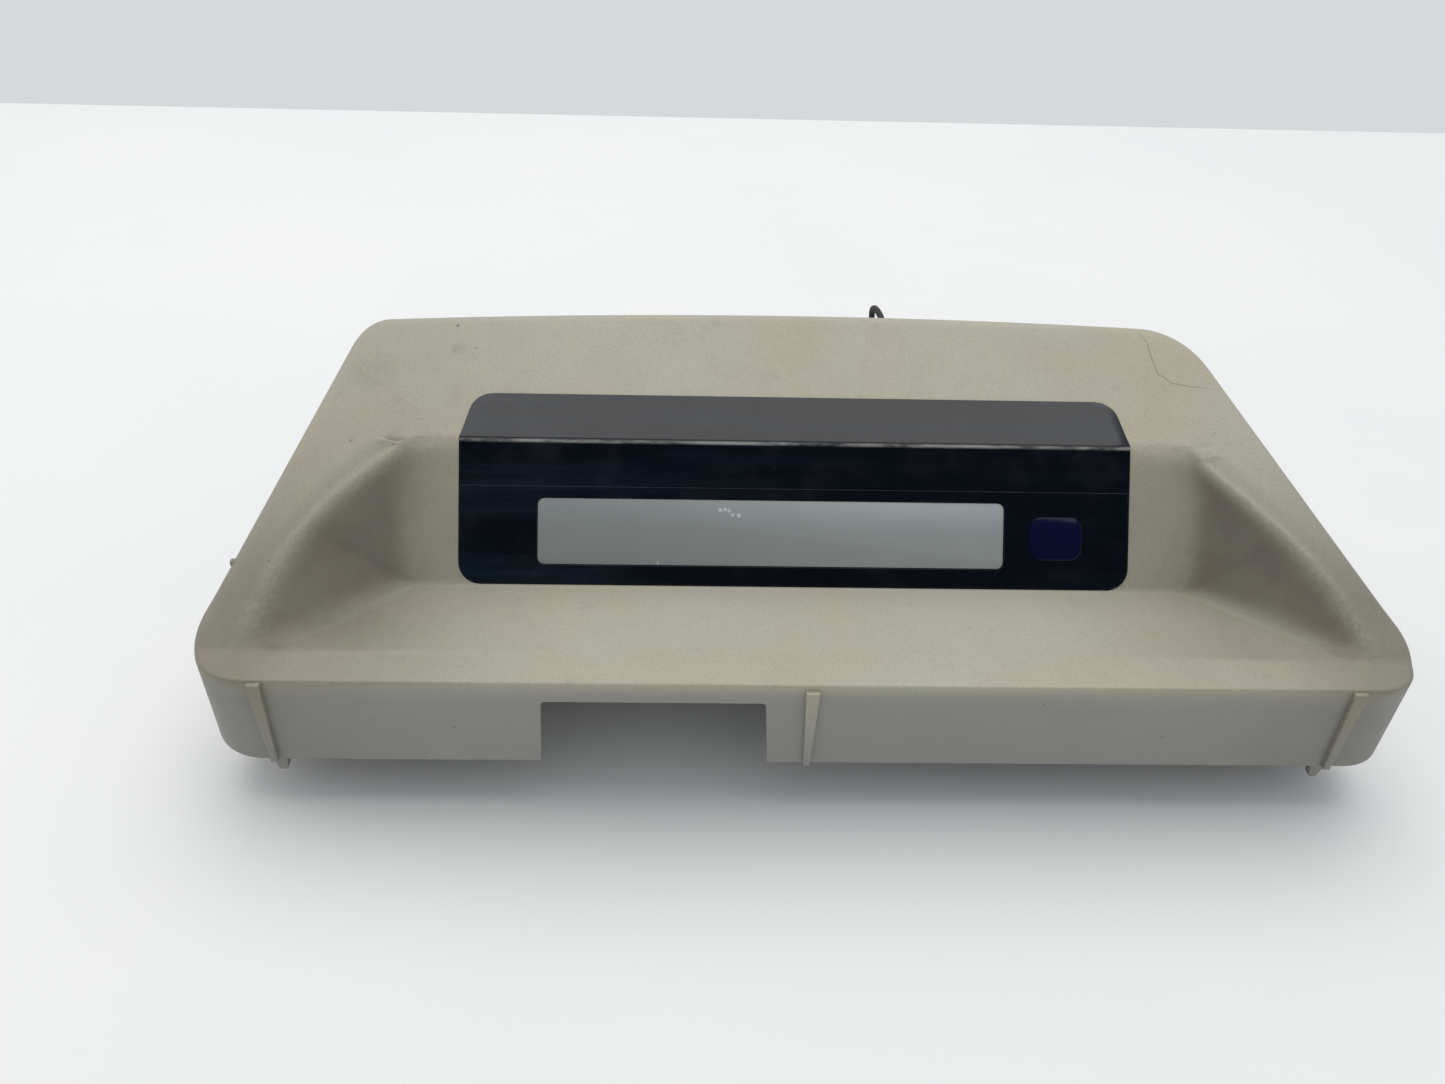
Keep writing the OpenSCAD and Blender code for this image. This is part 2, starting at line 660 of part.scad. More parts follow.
// Free lead, from the rear wall over its bend and down to the coil
module display_lead() place() color([0.05, 0.05, 0.05]) tube(outer_route, lead_d);

// Coil of spare lead, three turns
module lead_coil() place() color([0.05, 0.05, 0.05])
  translate([coil_x, coil_y, coil_z + lead_d / 2]) rotate_extrude() {
    for (i = [-1, 1]) translate([coil_r + i * turn_step / 2, 0]) circle(lead_d / 2);
    translate([coil_r, turn_step * sin(60)]) circle(lead_d / 2);
    polygon([[coil_r - turn_step / 2, 0], [coil_r + turn_step / 2, 0],
      [coil_r, turn_step * sin(60)]]);
  }

// Tie round the coil's turns
module lead_tie() place() color([0.12, 0.12, 0.12])
  translate([coil_x, coil_y - coil_r, coil_z - tie_t]) difference() {
    block(tie_w, turn_step + lead_d + 2 * tie_t + 0.6, 0, 2 * tie_t + turn_step * sin(60) + lead_d);
    block(tie_w + 1, turn_step + lead_d + 0.6, tie_t, tie_t + turn_step * sin(60) + lead_d);
  }

// Free end of the lead, from the coil to its plug
module lead_end() place() color([0.05, 0.05, 0.05]) tube(end_route, lead_d);

// Plug on the lead's free end
module end_plug() place() color([0.9, 0.88, 0.82])
  translate(end_route[len(end_route) - 1]) rotate([0, 0, 135]) difference() {
    translate([0, -end_plug_w / 2, -end_plug_t / 2]) cube([end_plug_l, end_plug_w, end_plug_t]);
    for (i = [0:3]) translate([end_plug_l / 2, (i - 1.5) * pin_pitch - pin_hole / 2,
      -pin_hole / 2]) cube([end_plug_l, pin_hole, pin_hole]);
  }

// ---------- what is drawn ----------

hood_shell();
lens_cover();
lens_tape();
face_film();
window_pane();
indicator_pane();
dust_seal();
display_frame();
display_glass();
light_guide();
contact_strips();
backlight_lamps();
display_board();
board_screws();
driver_chips();
board_capacitors();
board_resistors();
board_socket();
lead_plug();
indicator_lamp();
lamp_shroud();
lead_inside();
lead_grommet();
display_lead();
lead_coil();
lead_tie();
lead_end();
end_plug();
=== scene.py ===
"""Looks of a cash register's operator-display hood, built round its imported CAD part.

The hood lies on a pale table, off its machine: a warm grey moulded cover with a black
display lens in its recess, the display unit inside it and the display's thin lead.
Sizes are in millimetres in the hood's drawing frame (X right, Y away from the operator,
Z up, zero at the middle of the front skirt's top edge) and become metres in spot().
"""

import logging
import math
from contextlib import contextmanager
from dataclasses import dataclass, field
from enum import Enum
from typing import Dict, Iterable, Iterator, List, Optional, Sequence, Tuple

import bmesh
import bpy
import numpy as np
from mathutils import Matrix, Vector
from mathutils.bvhtree import BVHTree
from mathutils.geometry import delaunay_2d_cdt

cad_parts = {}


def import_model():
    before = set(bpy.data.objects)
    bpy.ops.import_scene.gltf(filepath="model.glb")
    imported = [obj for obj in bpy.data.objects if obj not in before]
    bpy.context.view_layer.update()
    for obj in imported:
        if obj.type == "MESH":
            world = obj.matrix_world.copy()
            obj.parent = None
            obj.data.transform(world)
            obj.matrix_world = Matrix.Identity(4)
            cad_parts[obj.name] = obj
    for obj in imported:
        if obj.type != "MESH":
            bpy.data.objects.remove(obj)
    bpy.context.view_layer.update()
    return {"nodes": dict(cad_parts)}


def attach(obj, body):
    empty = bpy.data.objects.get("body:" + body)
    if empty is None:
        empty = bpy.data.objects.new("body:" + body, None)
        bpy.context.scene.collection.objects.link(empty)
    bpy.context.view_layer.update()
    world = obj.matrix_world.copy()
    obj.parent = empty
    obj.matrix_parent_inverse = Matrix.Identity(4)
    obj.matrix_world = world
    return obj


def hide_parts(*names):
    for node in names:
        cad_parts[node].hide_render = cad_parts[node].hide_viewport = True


LOG = logging.getLogger("display_hood")

MM = 0.001
Y_MID = 53.7216  # the drawing's Y at the middle of the part's base
BASE_Z = -46.9  # the drawing's Z at the part's base
TINY = 1e-7  # metres within which points count as level
IMAGE_W, IMAGE_H = 1445, 1084
ACROSS, AWAY, UP = Vector((1, 0, 0)), Vector((0, 1, 0)), Vector((0, 0, 1))

Colour = Tuple[float, float, float]
Place = Tuple[float, float, float]
Mark = Tuple[Vector, float, float]


def spot(x: float, y: float, z: float) -> Vector:
    """A point of the drawing, in the part's own frame, in metres."""
    return Vector((x * MM, (y - Y_MID) * MM, (z - BASE_Z) * MM))


def added(name: str, data: bpy.types.ID) -> bpy.types.Object:
    """A new object of the scene that holds some data."""
    made = bpy.data.objects.new(name, data)
    bpy.context.collection.objects.link(made)
    return made


def unit2(v: Sequence[float]) -> np.ndarray:
    """A plane vector at length 1."""
    a = np.asarray(v, float)
    return a / np.linalg.norm(a)


def ease(v: np.ndarray, start: float, end: float) -> np.ndarray:
    """0 before start, 1 past end, smooth between."""
    t = np.clip((v - start) / (end - start), 0, 1)
    return t * t * (3 - 2 * t)


def slide(v: np.ndarray, start: float, end: float) -> np.ndarray:
    """0 before start, 1 past end, straight between."""
    return np.clip((v - start) / (end - start), 0, 1)


def bell(v: np.ndarray, middle: float, width: float) -> np.ndarray:
    """1 at a middle and falling off to both sides within about a width."""
    return np.exp(-(((v - middle) / width) ** 2))


def swing(v: np.ndarray, middle: float, width: float) -> np.ndarray:
    """0 well before a middle, 1 well past it, over a width."""
    return 1 / (1 + np.exp(-(v - middle) / width))


class Step(Enum):
    """How two plane slopes are joined in the hood's height."""

    RIDGE = -1
    VALLEY = 1


# ---------- camera ----------


@dataclass(frozen=True)
class PhotoCamera:
    """The camera that took the photograph, settled by the image points.

    Attributes:
        place: where it stands, in metres.
        lens: focal length in millimetres on the sensor's width.
        sensor: the sensor's width in millimetres.
        pitch: degrees that it looks down.
        yaw: degrees that it looks towards +X.
        roll: degrees that it leans to the right.
        shift: how far the picture is shifted, as shares of its long side.
    """

    place: Place = (-0.031217, -0.261839, 0.247470)
    lens: float = 27.570
    sensor: float = 36.0
    pitch: float = 36.5448
    yaw: float = 1.6928
    roll: float = 1.6977
    shift: Tuple[float, float] = (0.000758, -0.000173)

    def turn(self) -> Matrix:
        """The camera's axes as columns: right, up and backwards."""
        p, y, r = (math.radians(a) for a in (self.pitch, self.yaw, self.roll))
        ahead = Vector(
            (math.sin(y) * math.cos(p), math.cos(y) * math.cos(p), -math.sin(p))
        )
        right = Vector((math.cos(y), -math.sin(y), 0.0))
        up = right.cross(ahead)
        across = math.cos(r) * right + math.sin(r) * up
        upward = -math.sin(r) * right + math.cos(r) * up
        return Matrix((across, upward, -ahead)).transposed()

    def build(self) -> bpy.types.Object:
        """Adds the camera and makes it the scene's.

        Returns:
            The camera's object.
        """
        data = bpy.data.cameras.new("photo_camera")
        data.lens, data.sensor_width, data.sensor_fit = self.lens, self.sensor, "AUTO"
        data.shift_x, data.shift_y = self.shift
        data.clip_start, data.clip_end = 0.01, 30
        camera = added("photo_camera", data)
        camera.matrix_world = Matrix.Translation(self.place) @ self.turn().to_4x4()
        bpy.context.scene.camera = camera
        return camera

    def ray(self, px: float, py: float) -> Tuple[Vector, Vector]:
        """Where the ray of an image point starts, and its direction.

        Args:
            px: the point's x in the photograph's frame.
            py: the point's y, counted down.

        Returns:
            The start and the direction, in the part's frame.
        """
        long_side = max(IMAGE_W, IMAGE_H)
        local = Vector(
            (
                px - IMAGE_W / 2 + self.shift[0] * long_side,
                IMAGE_H / 2 - py + self.shift[1] * long_side,
                -long_side * self.lens / self.sensor,
            )
        )
        return Vector(self.place), (self.turn() @ local).normalized()


CAMERA = PhotoCamera()


# ---------- modelling bench ----------


def clear_selection() -> None:
    """Deselects every object, as the loaded CAD nodes start selected."""
    if bpy.context.object and bpy.context.object.mode != "OBJECT":
        bpy.ops.object.mode_set(mode="OBJECT")
    bpy.ops.object.select_all(action="DESELECT")


def take(*objects: bpy.types.Object) -> bpy.types.Object:
    """Selects these objects alone and makes the first of them active."""
    clear_selection()
    for item in objects:
        item.select_set(True)
    bpy.context.view_layer.objects.active = objects[0]
    return objects[0]


def mesh_object(
    name: str, points: Iterable[Sequence[float]], faces: Iterable[Sequence[int]]
) -> bpy.types.Object:
    """Makes a mesh object from drawing points in metres, its normals outward."""
    data = bpy.data.meshes.new(name)
    data.from_pydata([tuple(p) for p in points], [], [tuple(f) for f in faces])
    data.update()
    return added(name, data)


def bevel_where(
    item: bpy.types.Object,
    shape: bmesh.types.BMesh,
    upright: bool,
    width: float,
    segments: int,
) -> None:
    """Rounds the upright edges of a piece in edit mode, or the level ones."""
    for line in shape.edges:
        rise = abs(line.verts[0].co.z - line.verts[1].co.z)
        line.select_set(rise > 10 * TINY if upright else rise < TINY)
    bmesh.update_edit_mesh(item.data)
    bpy.ops.mesh.bevel(offset=width * MM, segments=segments, affect="EDGES")


@contextmanager
def editing(item: bpy.types.Object) -> Iterator[bmesh.types.BMesh]:
    """Opens an active piece for editing, all of it selected, and closes it again."""
    bpy.ops.object.mode_set(mode="EDIT")
    bpy.ops.mesh.select_all(action="SELECT")
    yield bmesh.from_edit_mesh(item.data)
    bpy.ops.object.mode_set(mode="OBJECT")


def outward(item: bpy.types.Object) -> bpy.types.Object:
    """Merges doubles and turns the faces outward."""
    take(item)
    with editing(item):
        bpy.ops.mesh.remove_doubles(threshold=1e-6)
        bpy.ops.mesh.normals_make_consistent(inside=False)
    return item


def settle(item: bpy.types.Object) -> bpy.types.Object:
    """Puts an object's place into its mesh, so that it stands at the origin."""
    take(item)
    bpy.ops.object.transform_apply(location=True, rotation=True, scale=True)
    return item


def finish_with(item: bpy.types.Object, kind: str, **settings: object) -> None:
    """Adds one modifier with its settings and applies it."""
    take(item)
    modifier = item.modifiers.new(kind.lower(), kind)
    for key, value in settings.items():
        setattr(modifier, key, value)
    bpy.ops.object.modifier_apply(modifier=modifier.name)


def smooth(item: bpy.types.Object, degrees: float = 35) -> None:
    """Shades an object smooth except where its faces meet at more than an angle."""
    take(item)
    bpy.ops.object.shade_smooth_by_angle(angle=math.radians(degrees))


def soft_edges(item: bpy.types.Object, width: float, segments: int = 2) -> None:
    """Rounds the sharp edges of a piece, by a width in millimetres."""
    finish_with(
        item,
        "BEVEL",
        width=width * MM,
        segments=segments,
        limit_method="ANGLE",
        angle_limit=math.radians(40),
        use_clamp_overlap=True,
    )


def block(
    name: str,
    place: Matrix,
    size: Place,
    low: float,
    edge: float = 0.0,
    foot: Tuple[float, float] = (1.0, 1.0),
) -> bpy.types.Object:
    """A rectangular piece, modelled from a cube on a placed plane.

    Args:
        name: the piece's name.
        place: the plane's place, its Z out of it.
        size: width, height and thickness in millimetres.
        low: distance of its lower side from the plane, in millimetres.
        edge: rounding of its edges, in millimetres.
        foot: how much the lower side is narrowed in width and height.

    Returns:
        The finished object.
    """
    clear_selection()
    bpy.ops.mesh.primitive_cube_add(size=1)
    item = bpy.context.object
    item.name = name
    with editing(item) as shape:
        bpy.ops.transform.resize(value=(size[0] * MM, size[1] * MM, size[2] * MM))
        bpy.ops.transform.translate(value=(0, 0, (low + size[2] / 2) * MM))
        if foot != (1.0, 1.0):
            under = min(v.co.z for v in shape.verts)
            for vert in shape.verts:
                vert.select_set(vert.co.z < under + TINY)
            shape.select_flush_mode()
            bmesh.update_edit_mesh(item.data)
            bpy.ops.transform.resize(value=(foot[0], foot[1], 1))
            bpy.ops.mesh.select_all(action="SELECT")
        if edge:
            bpy.ops.mesh.bevel(offset=edge * MM, segments=2, affect="EDGES")
    item.matrix_world = place
    return settle(item)


def rod(
    name: str,
    place: Matrix,
    diameter: float,
    low: float,
    high: float,
    edge: float = 0.0,
    sides: int = 32,
    bore: float = 0.0,
    bore_depth: float = 0.0,
) -> bpy.types.Object:
    """A round piece, modelled from a cylinder, with a blind bore in its lower end.

    Args:
        name: the piece's name.
        place: the plane's place, its Z along the rod.
        diameter: outside diameter in millimetres.
        low: where it starts above the plane, in millimetres.
        high: where it ends.
        edge: rounding of its rims.
        sides: faces round it.
        bore: diameter of a bore from its lower end, or 0.
        bore_depth: depth of that bore.

    Returns:
        The finished object.
    """
    clear_selection()
    bpy.ops.mesh.primitive_cylinder_add(
        vertices=sides, radius=diameter / 2 * MM, depth=(high - low) * MM
    )
    item = bpy.context.object
    item.name = name
    with editing(item) as shape:
        bpy.ops.transform.translate(value=(0, 0, (low + high) / 2 * MM))
        if edge:
            bevel_where(item, shape, False, edge, 2)
        if bore:
            bpy.ops.mesh.select_mode(type="FACE")
            shape = bmesh.from_edit_mesh(item.data)
            low_z = min(v.co.z for v in shape.verts)
            for face in shape.faces:
                face.select_set(all(abs(v.co.z - low_z) < 10 * TINY for v in face.verts))
            bmesh.update_edit_mesh(item.data)
            bpy.ops.mesh.inset(thickness=max((diameter - bore) / 2 - edge, 0.1) * MM)
            bpy.ops.mesh.extrude_region_move(
                TRANSFORM_OT_translate={"value": (0, 0, bore_depth * MM)}
            )
            bpy.ops.mesh.select_mode(type="VERT")
    item.matrix_world = place
    return settle(item)


def rounded_block(
    name: str,
    place: Matrix,
    size: Tuple[float, float],
    low: float,
    high: float,
    corner: float,
) -> bpy.types.Object:
    """A block whose four upright edges are rounded, for a window's opening or pane.

    Args:
        name: the piece's name.
        place: the plane's place, its Z out of it.
        size: width and height in millimetres.
        low: where it starts above the plane.
        high: where it ends.
        corner: rounding of its upright edges.

    Returns:
        The block.
    """
    item = block(name, Matrix.Identity(4), (size[0], size[1], high - low), low)
    take(item)
    bpy.ops.object.mode_set(mode="EDIT")
    bpy.ops.mesh.select_mode(type="EDGE")
    bevel_where(item, bmesh.from_edit_mesh(item.data), True, corner, 4)
    bpy.ops.mesh.select_mode(type="VERT")
    bpy.ops.object.mode_set(mode="OBJECT")
    item.matrix_world = place
    return settle(item)


def join(name: str, parts: Sequence[bpy.types.Object]) -> bpy.types.Object:
    """Joins parts into one object with a name."""
    whole = take(*parts)
    if len(parts) > 1:
        bpy.ops.object.join()
    whole.name = name
    whole.data.name = name
    return whole


def combine(target: bpy.types.Object, other: bpy.types.Object, way: str) -> None:
    """Adds a solid to another (UNION) or takes it out (DIFFERENCE) and removes it."""
    finish_with(target, "BOOLEAN", operation=way, object=other, solver="EXACT")
    bpy.data.objects.remove(other)


def cut(target: bpy.types.Object, cutter: bpy.types.Object) -> None:
    """Takes one solid out of another and removes the cutter."""
    combine(target, cutter, "DIFFERENCE")


def dress(item: bpy.types.Object, material: bpy.types.Material) -> None:
    """Gives a piece one material in place of any that it has."""
    item.data.materials.clear()
    item.data.materials.append(material)


def plane_at(origin: Vector, across: Vector, up: Vector) -> Matrix:
    """A placed plane with X along one vector, Y along another and Z out of it."""
    out = across.cross(up)
    turn = Matrix((across, up, out)).transposed().to_4x4()
    return Matrix.Translation(origin) @ turn


# ---------- finishes ----------


class Palette:
    """Builds one material's nodes on the object's own coordinates."""

    def __init__(self, name: str) -> None:
        """Starts a material that holds only its shader and output."""
        self.material = bpy.data.materials.new(name)
        self.material.use_nodes = True
        self.tree = self.material.node_tree
        self.shader = self.tree.nodes["Principled BSDF"]
        self.place = self.tree.nodes.new("ShaderNodeTexCoord").outputs["Object"]

    def link(
        self, source: bpy.types.NodeSocket, target: bpy.types.NodeSocket
    ) -> None:
        """Joins two sockets."""
        self.tree.links.new(source, target)

    def set(self, **values: object) -> None:
        """Sets the shader's own sockets; underscores stand for spaces."""
        for key, value in values.items():
            self.shader.inputs[key.replace("_", " ")].default_value = value

    def noise(
        self,
        size: float,
        detail: float = 3.0,
        rough: float = 0.55,
        stretch: Place = (1, 1, 1),
        shift: float = 0.0,
    ) -> bpy.types.NodeSocket:
        """Noise whose lumps have a size in millimetres.

        Args:
            size: lump size in millimetres.
            detail: finer octaves.
            rough: how strong these are.
            stretch: how much finer it runs along each axis.
            shift: moves the pattern, so that two noises differ.

        Returns:
            The noise's factor socket.
        """
        mapping = self.tree.nodes.new("ShaderNodeMapping")
        mapping.inputs["Scale"].default_value = stretch
        mapping.inputs["Location"].default_value = (shift, shift * 0.7, -shift)
        self.link(self.place, mapping.inputs["Vector"])
        node = self.tree.nodes.new("ShaderNodeTexNoise")
        node.inputs["Scale"].default_value = 1 / (size * MM)
        node.inputs["Detail"].default_value = detail
        node.inputs["Roughness"].default_value = rough
        self.link(mapping.outputs["Vector"], node.inputs["Vector"])
        return node.outputs["Fac"]

    def cells(self, size: float) -> bpy.types.NodeSocket:
        """Distance to the nearest of scattered points, as a share of their spacing."""
        node = self.tree.nodes.new("ShaderNodeTexVoronoi")
        node.inputs["Scale"].default_value = 1 / (size * MM)
        self.link(self.place, node.inputs["Vector"])
        return node.outputs["Distance"]

    def span(
        self,
        value: bpy.types.NodeSocket,
        low: float,
        high: float,
        start: float = 0.0,
        end: float = 1.0,
    ) -> bpy.types.NodeSocket:
        """Maps low..high of a value onto start..end, smoothly and kept inside."""
        node = self.tree.nodes.new("ShaderNodeMapRange")
        node.interpolation_type = "SMOOTHSTEP"
        for key, number in zip(
            ("From Min", "From Max", "To Min", "To Max"), (low, high, start, end)
        ):
            node.inputs[key].default_value = number
        self.link(value, node.inputs["Value"])
        return node.outputs["Result"]

    def maths(
        self, first: bpy.types.NodeSocket, second: object, operation: str
    ) -> bpy.types.NodeSocket:
        """One arithmetic step on a value and another value or number."""
        node = self.tree.nodes.new("ShaderNodeMath")
        node.operation = operation
        self.link(first, node.inputs[0])
        if isinstance(second, (int, float)):
            node.inputs[1].default_value = second
        else:
            self.link(second, node.inputs[1])
        return node.outputs[0]

    def times(self, first: bpy.types.NodeSocket, *others: object) -> bpy.types.NodeSocket:
        """The product of values and numbers."""
        for other in others:
            first = self.maths(first, other, "MULTIPLY")
        return first

    def painted(self, name: str) -> bpy.types.NodeSocket:
        """A value painted on the piece's own mesh."""
        node = self.tree.nodes.new("ShaderNodeAttribute")
        node.attribute_name = name
        return node.outputs["Fac"]

    def wear(self, colour: bpy.types.NodeSocket, rough: bpy.types.NodeSocket) -> None:
        """Gives the shader its colour and its roughness."""
        self.link(colour, self.shader.inputs["Base Color"])
        self.link(rough, self.shader.inputs["Roughness"])

    def blend(
        self,
        share: bpy.types.NodeSocket,
        first: object,
        second: object,
    ) -> bpy.types.NodeSocket:
        """Mixes two colours, each a socket or a linear colour, by a share."""
        node = self.tree.nodes.new("ShaderNodeMix")
        node.data_type = "RGBA"
        self.link(share, node.inputs["Factor"])
        for key, value in ((6, first), (7, second)):
            if isinstance(value, (tuple, list)):
                node.inputs[key].default_value = (*value[:3], 1)
            else:
                self.link(value, node.inputs[key])
        return node.outputs[2]

    def near(
        self, centre: Vector, inner: float, outer: float
    ) -> bpy.types.NodeSocket:
        """1 within inner millimetres of a point, 0 beyond outer millimetres."""
        node = self.tree.nodes.new("ShaderNodeVectorMath")
        node.operation = "DISTANCE"
        self.link(self.place, node.inputs[0])
        node.inputs[1].default_value = centre
        return self.span(node.outputs["Value"], inner * MM, outer * MM, 1.0, 0.0)

    def along(self, axis: int) -> bpy.types.NodeSocket:
        """The object's own X, Y or Z, in metres."""
        node = self.tree.nodes.new("ShaderNodeSeparateXYZ")
        self.link(self.place, node.inputs[0])
        return node.outputs[axis]

    def bump(self, height: bpy.types.NodeSocket, depth: float) -> None:
        """Adds relief of a depth in millimetres to the shader's normal."""
        node = self.tree.nodes.new("ShaderNodeBump")
        node.inputs["Strength"].default_value = 1.0
        node.inputs["Distance"].default_value = depth * MM
        self.link(height, node.inputs["Height"])
        socket = self.shader.inputs["Normal"]
        if socket.is_linked:
            self.link(socket.links[0].from_socket, node.inputs["Normal"])
        self.link(node.outputs["Normal"], socket)


def srgb(r: float, g: float, b: float) -> Place:
    """A colour written as it looks, 0 to 255, made linear."""

    def one(value: float) -> float:
        """One channel made linear."""
        c = value / 255
        return c / 12.92 if c <= 0.04045 else ((c + 0.055) / 1.055) ** 2.4

    return one(r), one(g), one(b)


@dataclass(frozen=True)
class Finish:
    """A moulded, cast or rubbed surface: mottled colour, grain and uneven gloss.

    Attributes:
        name: the material's name.
        colour: its main colour as it looks, 0 to 255.
        second: the colour that its mottling goes towards.
        mottle: size of the mottling in millimetres.
        grain: size of the surface grain in millimetres.
        depth: depth of that grain in millimetres.
        rough: lowest and highest roughness.
        metal: 1 for metal.
        coat: strength of a clear coat.
        stretch: how the grain is drawn out along each axis.
    """

    name: str
    colour: Colour
    second: Colour
    mottle: float = 12.0
    grain: float = 0.35
    depth: float = 0.02
    rough: Tuple[float, float] = (0.45, 0.6)
    metal: float = 0.0
    coat: float = 0.0
    stretch: Place = (1, 1, 1)

    def build(self) -> bpy.types.Material:
        """The finished material."""
        bench = Palette(self.name)
        mottling = bench.span(bench.noise(self.mottle, 4, 0.6), 0.35, 0.7)
        tone = bench.blend(mottling, srgb(*self.colour), srgb(*self.second))
        grain = bench.noise(self.grain, 3, 0.6, self.stretch, 3.1)
        bench.wear(tone, bench.span(grain, 0.3, 0.7, *self.rough))
        bench.bump(grain, self.depth)
        bench.set(Metallic=self.metal, Coat_Weight=self.coat, Coat_Roughness=0.08)
        return bench.material


@dataclass(frozen=True)
class AgedPlastic:
    """The hood's warm grey moulded plastic, yellowed and marked by years of use.

    The values painted on the hood's mesh say where its walls turn greyer and darker, less
    yellowed and with painted shade (walls); where painted shade with some soiling lies;
    where its corners hold painted shade and grimy soiling; and where it is rubbed on its
    edges (wear).
    """

    name: str = "hood_plastic"
    colour: Colour = srgb(176, 174, 159)
    yellowed: Colour = srgb(176, 170, 150)
    # the walls' less yellowed grey, which is also painted shade that darkens them
    wall_grey_and_shade: Colour = srgb(140, 140, 136)
    # brownish painted shade, with some soiling, on the recess walls, floor ends and wings
    shade_and_soiling: Colour = srgb(84, 76, 66)
    # grimy mottling, which also serves as painted shade in the recess's corners and creases
    grime_and_shade_tone: Colour = srgb(92, 86, 76)
    rubbed: Colour = srgb(206, 203, 190)
    speck: Colour = srgb(52, 46, 40)
    wall_shade_share: float = 0.9
    wear_share: float = 0.15
    speck_share: float = 0.6

    def build(self, marks: Sequence[Mark]) -> bpy.types.Material:
        """The hood's material.

        Args:
            marks: place, radius in millimetres and darkness of each mark seen on it.

        Returns:
            The material.
        """
        bench = Palette(self.name)
        aged = bench.span(bench.noise(55, 3, 0.5, shift=1.3), 0.35, 0.68)
        tone = bench.blend(aged, self.colour, self.yellowed)
        sand = bench.span(bench.noise(0.75, 3, 0.65, shift=2.6), 0.36, 0.66, 0.0, 0.13)
        cloud = bench.span(bench.noise(9, 5, 0.65, shift=4.2), 0.56, 0.82, 0.0, 0.16)
        streaks = bench.noise(5, 4, 0.7, (0.12, 1.0, 1.0), 7.7)
        for share in (sand, cloud, bench.span(streaks, 0.6, 0.85, 0.0, 0.1)):
            tone = bench.blend(share, tone, self.grime_and_shade_tone)
        # painted shade: darker walls, recess walls, floor ends, wings and corners, with
        # some soiling and less yellowing
        wall_shade_mask = bench.times(bench.painted("walls"), self.wall_shade_share)
        even = bench.span(bench.noise(17, 3, 0.5, shift=5.9), 0.2, 0.8, 0.9, 1.05)
        broken = bench.span(bench.noise(3.2, 5, 0.7, shift=9.1), 0.25, 0.8, 0.55, 1.0)
        scuffed = bench.span(bench.noise(1.6, 5, 0.7, shift=2.9), 0.4, 0.72)
        dots = bench.span(bench.cells(11), 0.016, 0.026, 1.0, 0.0)
        kept = bench.span(bench.noise(26, 2, 0.5, shift=5.5), 0.5, 0.56)
        for share, colour in (
            (wall_shade_mask, self.wall_grey_and_shade),
            (bench.times(bench.painted("shade_and_soiling"), even), self.shade_and_soiling),
            (bench.times(bench.painted("grime_and_shade"), broken), self.grime_and_shade_tone),
            (bench.times(bench.painted("wear"), scuffed, self.wear_share), self.rubbed),
            (bench.times(dots, kept, self.speck_share), self.speck),
        ):
            tone = bench.blend(share, tone, colour)
        ragged = bench.span(bench.noise(2.2, 5, 0.75, shift=6.4), 0.36, 0.62, 0.12, 1.0)
        for centre, radius, dark in marks:
            near = bench.near(centre, radius * 0.35, radius)
            tone = bench.blend(bench.times(near, ragged, dark), tone, self.speck)
        bench.wear(
            tone, bench.span(bench.noise(14, 4, 0.6, shift=3.7), 0.3, 0.7, 0.42, 0.58)
        )
        for size, detail, rough, shift, depth in (
            (1.0, 4, 0.7, 3.1, 0.05), (0.42, 3, 0.6, 1.1, 0.034),
            (0.16, 2, 0.5, 8.3, 0.012), (38, 2, 0.4, 2.2, 0.25),
        ):
            bench.bump(bench.noise(size, detail, rough, shift=shift), depth)
        bench.set(Specular_IOR_Level=0.42)
        return bench.material


